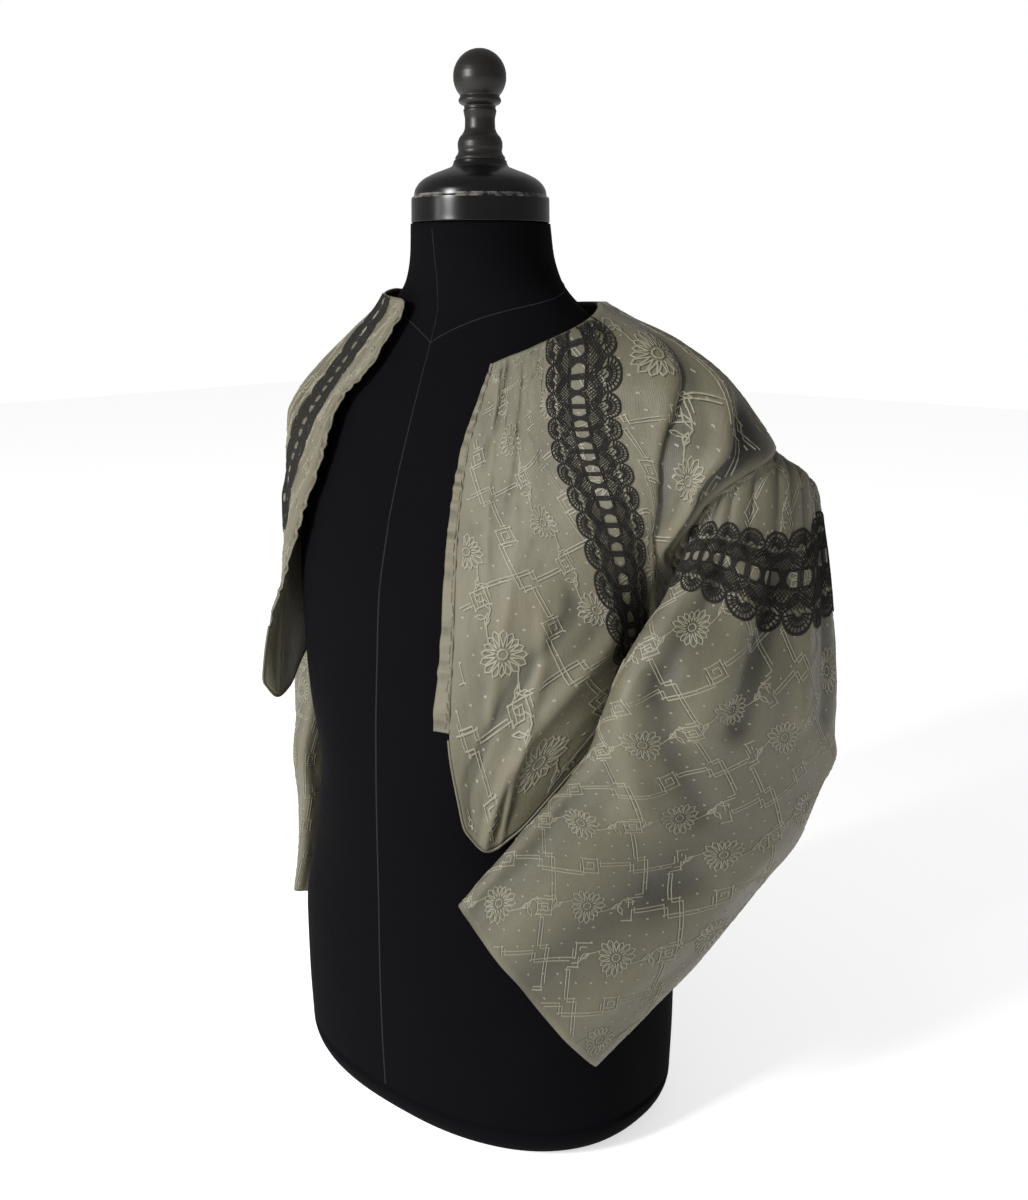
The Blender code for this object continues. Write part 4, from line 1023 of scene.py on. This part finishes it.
def add_piping(side, tag, sheet):
    """A cord round the foot of the lappet, from the band to the side seam: rings round a smoothed path."""
    levels, columns = np.linspace(6.05, 6.97, 30), np.linspace(0.02, 5.98, 150)
    rows = np.concatenate([levels, np.full(len(columns), 7.0)])
    across = np.concatenate([np.zeros(len(levels)), columns])
    spot, out = sheet.at_table(rows, across)
    smooth = np.pad(spot, ((3, 3), (0, 0)), mode="edge")
    spot = np.stack([smooth[k:k + len(spot)] for k in range(7)]).mean(axis=0)
    run = np.gradient(spot, axis=0)
    run /= np.linalg.norm(run, axis=1, keepdims=True)
    away = np.cross(out, run)
    inner, _ = sheet.at_table(np.full(len(rows), 5.0), np.clip(across, 2, 4))
    away *= np.sign(np.sum(away * (spot - inner), axis=1, keepdims=True))
    turn = np.linspace(0, 2 * math.pi, 10, endpoint=False)[None, :, None]
    circle = np.cos(turn) * away[:, None] + np.sin(turn) * out[:, None]
    grid = (spot + away * CLOTH)[:, None] + PIPING_RADIUS * circle
    piece = add_mesh(f"piping_{tag}_cord", *spun(grid), SILK)
    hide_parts(f"piping_{tag}")
    return piece


def running_stitches(sheet, column, first, last, longest, gap):
    """Uneven stitches down one column of a sheet, as pairs of ends (x, y) in millimetres on the flat cut."""
    found, y = [], first
    while y < last:
        run = longest * random.uniform(0.55, 1.0)
        x = column + random.uniform(-0.5, 0.5)
        found.append([(x, y), (x + random.uniform(-0.8, 0.8), min(y + run, last))])
        y += run + gap * random.uniform(0.7, 1.5)
    return found


# %% [markdown]
# ## Building the jacket
#
# The back comes first, then each side's front with its figure, piping and lace, its band, and its sleeve. The size
# of every cloth's flat cut, and its area, are printed.

# %% Jacket
# The tint from the fold values is painted: sheen on the ridges and shade in the troughs.
FOLD_HEIGHT, SLEEVE_FOLD_HEIGHT = 2.5, 5.0  # mm of lift at which a ridge or trough has its full tint


def flat_sizes(sheet):
    """Longest width and length over the grid's lines, and the area, half the cross product of the diagonals."""
    grid = sheet.ring
    a = grid[1:, 1:] - grid[:-1, :-1]
    b = grid[1:, :-1] - grid[:-1, 1:]
    area = 0.5 * np.linalg.norm(np.cross(a, b), axis=2).sum()
    wide = np.linalg.norm(np.diff(grid, axis=1), axis=2).sum(axis=1).max()
    long = np.linalg.norm(np.diff(grid, axis=0), axis=2).sum(axis=0).max()
    return (max(round(float(wide), 3), 0.010), round(float(long), 3)), round(float(area), 4)


def declare(piece, sheet, others=()):
    """Print a sheet's flat cut and its area. The area kept between 0.31 and 1 of the rectangle round the cut is
    worked out and not used.
    """
    flat, area = flat_sizes(sheet)
    print(piece.name, "flat", flat, "area", area)
    area = min(max(area, 0.31 * flat[0] * flat[1]), flat[0] * flat[1])


back, back_lift = back_sheet()
piece = add_shell("back_cloth", back, SILK, np.clip(back_lift / FOLD_HEIGHT, -1, 1))
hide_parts("back")
declare(piece, back, add_figure("figure_back", back, BACK_LEAN))

for side, tag in ((1, "left"), (-1, "right")):
    sheet, lift = front_sheet(side)
    shade = np.clip(lift / FOLD_HEIGHT, -1, 1)
    # Painted shade: a darker patch on the deep fold before the left shoulder seam.
    if side > 0:  # the deep fold before the left shoulder seam
        a, b = np.linspace(0, 6, lift.shape[1])[None, :], np.linspace(0, 7, lift.shape[0])[:, None]
        shade = shade - 1.3 * np.exp(-(((a - 5.72) / 0.30) ** 2) - ((b - 0.85) / 0.70) ** 2)
    piece = add_shell(f"front_{tag}_cloth", sheet, SILK, shade)
    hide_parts(f"front_{tag}")
    others = add_figure(f"figure_front_{tag}", sheet, FRONT_LEAN) + [add_piping(side, tag, sheet)]
    name = f"lace_front_{tag}"
    others.append(add_lace(f"{name}_threads", sheet, name, places=front_places, **FRONT_LACE))
    declare(piece, sheet, others)

    band, band_lift = band_sheet(side)
    piece = add_shell(f"band_{tag}_cloth", band, SILK, np.clip(band_lift, -1, 1))
    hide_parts(f"band_{tag}")
    marks = running_stitches(band, 1.6, 3.0, band.y[-1] - 3.0, 8.5, 2.2)
    sewn = add_threads(f"stitches_{tag}", band.at_flat, marks, 0.7, THREAD_HIGH, STITCH, CLOTH / 2)
    declare(piece, band, [sewn])

    sheet, lift = sleeve_sheet(side)
    # Painted shade: the fold values lowered by 0.3 make the whole sleeve darker and cooler, as it turns away from
    # the light.
    piece = add_shell(f"sleeve_{tag}_cloth", sheet, SILK, np.clip(lift / SLEEVE_FOLD_HEIGHT, -1, 1) - 0.3)
    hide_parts(f"sleeve_{tag}")
    others = add_figure(f"figure_sleeve_{tag}", sheet, SLEEVE_LEAN * side)
    name = f"lace_sleeve_{tag}"
    others.append(add_lace(f"{name}_threads", sheet, name, places=sleeve_places, **SLEEVE_LACE))
    declare(piece, sheet, others)

# %% [markdown]
# ## Studio
#
# A pale floor, an even white surround, a broad soft lamp high on the picture's left, and a small one that gives
# the cap its highlight. The camera looks at the photograph's own angle, from a little to the wearer's left.

# %% Floor, light and camera
FLOOR_HALF, FLOOR_Z = 6.0, -0.0006
PAPER_GLOW, SURROUND = 0.62, 0.36  # light given off by the floor, and by the surround on the object

scene = bpy.context.scene
paper = Look("floor_paper").finished(
    Base_Color=(0.90, 0.90, 0.90, 1.0), Roughness=0.95, Emission_Color=WHITE, Emission_Strength=PAPER_GLOW
)
corners = [(x * FLOOR_HALF, y * FLOOR_HALF, FLOOR_Z) for x, y in ((-1, -1), (1, -1), (1, 1), (-1, 1))]
floor_mesh = bpy.data.meshes.new("floor")
floor_mesh.from_pydata(corners, [], [(0, 1, 2, 3)])
floor_mesh.materials.append(paper)
floor = bpy.data.objects.new("floor", floor_mesh)
scene.collection.objects.link(floor)

scene.world = scene.world or bpy.data.worlds.new("studio")
scene.world.use_nodes = True
tree = scene.world.node_tree
surround = tree.nodes["Background"]
backdrop, seen, blend = (tree.nodes.new("ShaderNode" + k) for k in ("Background", "LightPath", "MixShader"))
for background, strength in ((surround, SURROUND), (backdrop, 1.0)):
    background.inputs["Color"].default_value = WHITE
    background.inputs["Strength"].default_value = strength
tree.links.new(seen.outputs["Is Camera Ray"], blend.inputs[0])
tree.links.new(surround.outputs[0], blend.inputs[1])
tree.links.new(backdrop.outputs[0], blend.inputs[2])
tree.links.new(blend.outputs[0], tree.nodes["World Output"].inputs["Surface"])
scene.view_settings.view_transform = "Standard"


def add_lamp(name, spot, target, size, power):
    """A square area lamp turned to its target, first down from the vertical and then round it."""
    data = bpy.data.lights.new(name, "AREA")
    data.size, data.energy = size, power
    lamp = bpy.data.objects.new(name, data)
    x, y, z = (t - s for s, t in zip(spot, target))
    lamp.location = spot
    lamp.rotation_euler = (math.atan2(math.hypot(x, y), -z), 0.0, math.atan2(-x, y))
    scene.collection.objects.link(lamp)


add_lamp("key", spot=(-0.50, -2.45, 1.35), target=(0.05, 0.0, 0.45), size=0.6, power=86.0)
add_lamp("window", spot=(-1.10, -1.85, 0.86), target=(0.0, 0.0, 0.73), size=0.30, power=3.0)

camera_data = bpy.data.cameras.new("camera")
camera_data.lens, camera_data.sensor_width = 39.0, 36.0
camera = bpy.data.objects.new("camera", camera_data)
camera.location = (0.6952, -0.7546, 0.676)
camera.rotation_euler = (math.radians(75.91), 0.0, math.radians(41.22))
scene.collection.objects.link(camera)
scene.camera = camera
print("lamps", len(bpy.data.lights), "camera at", [round(v, 3) for v in camera.location])
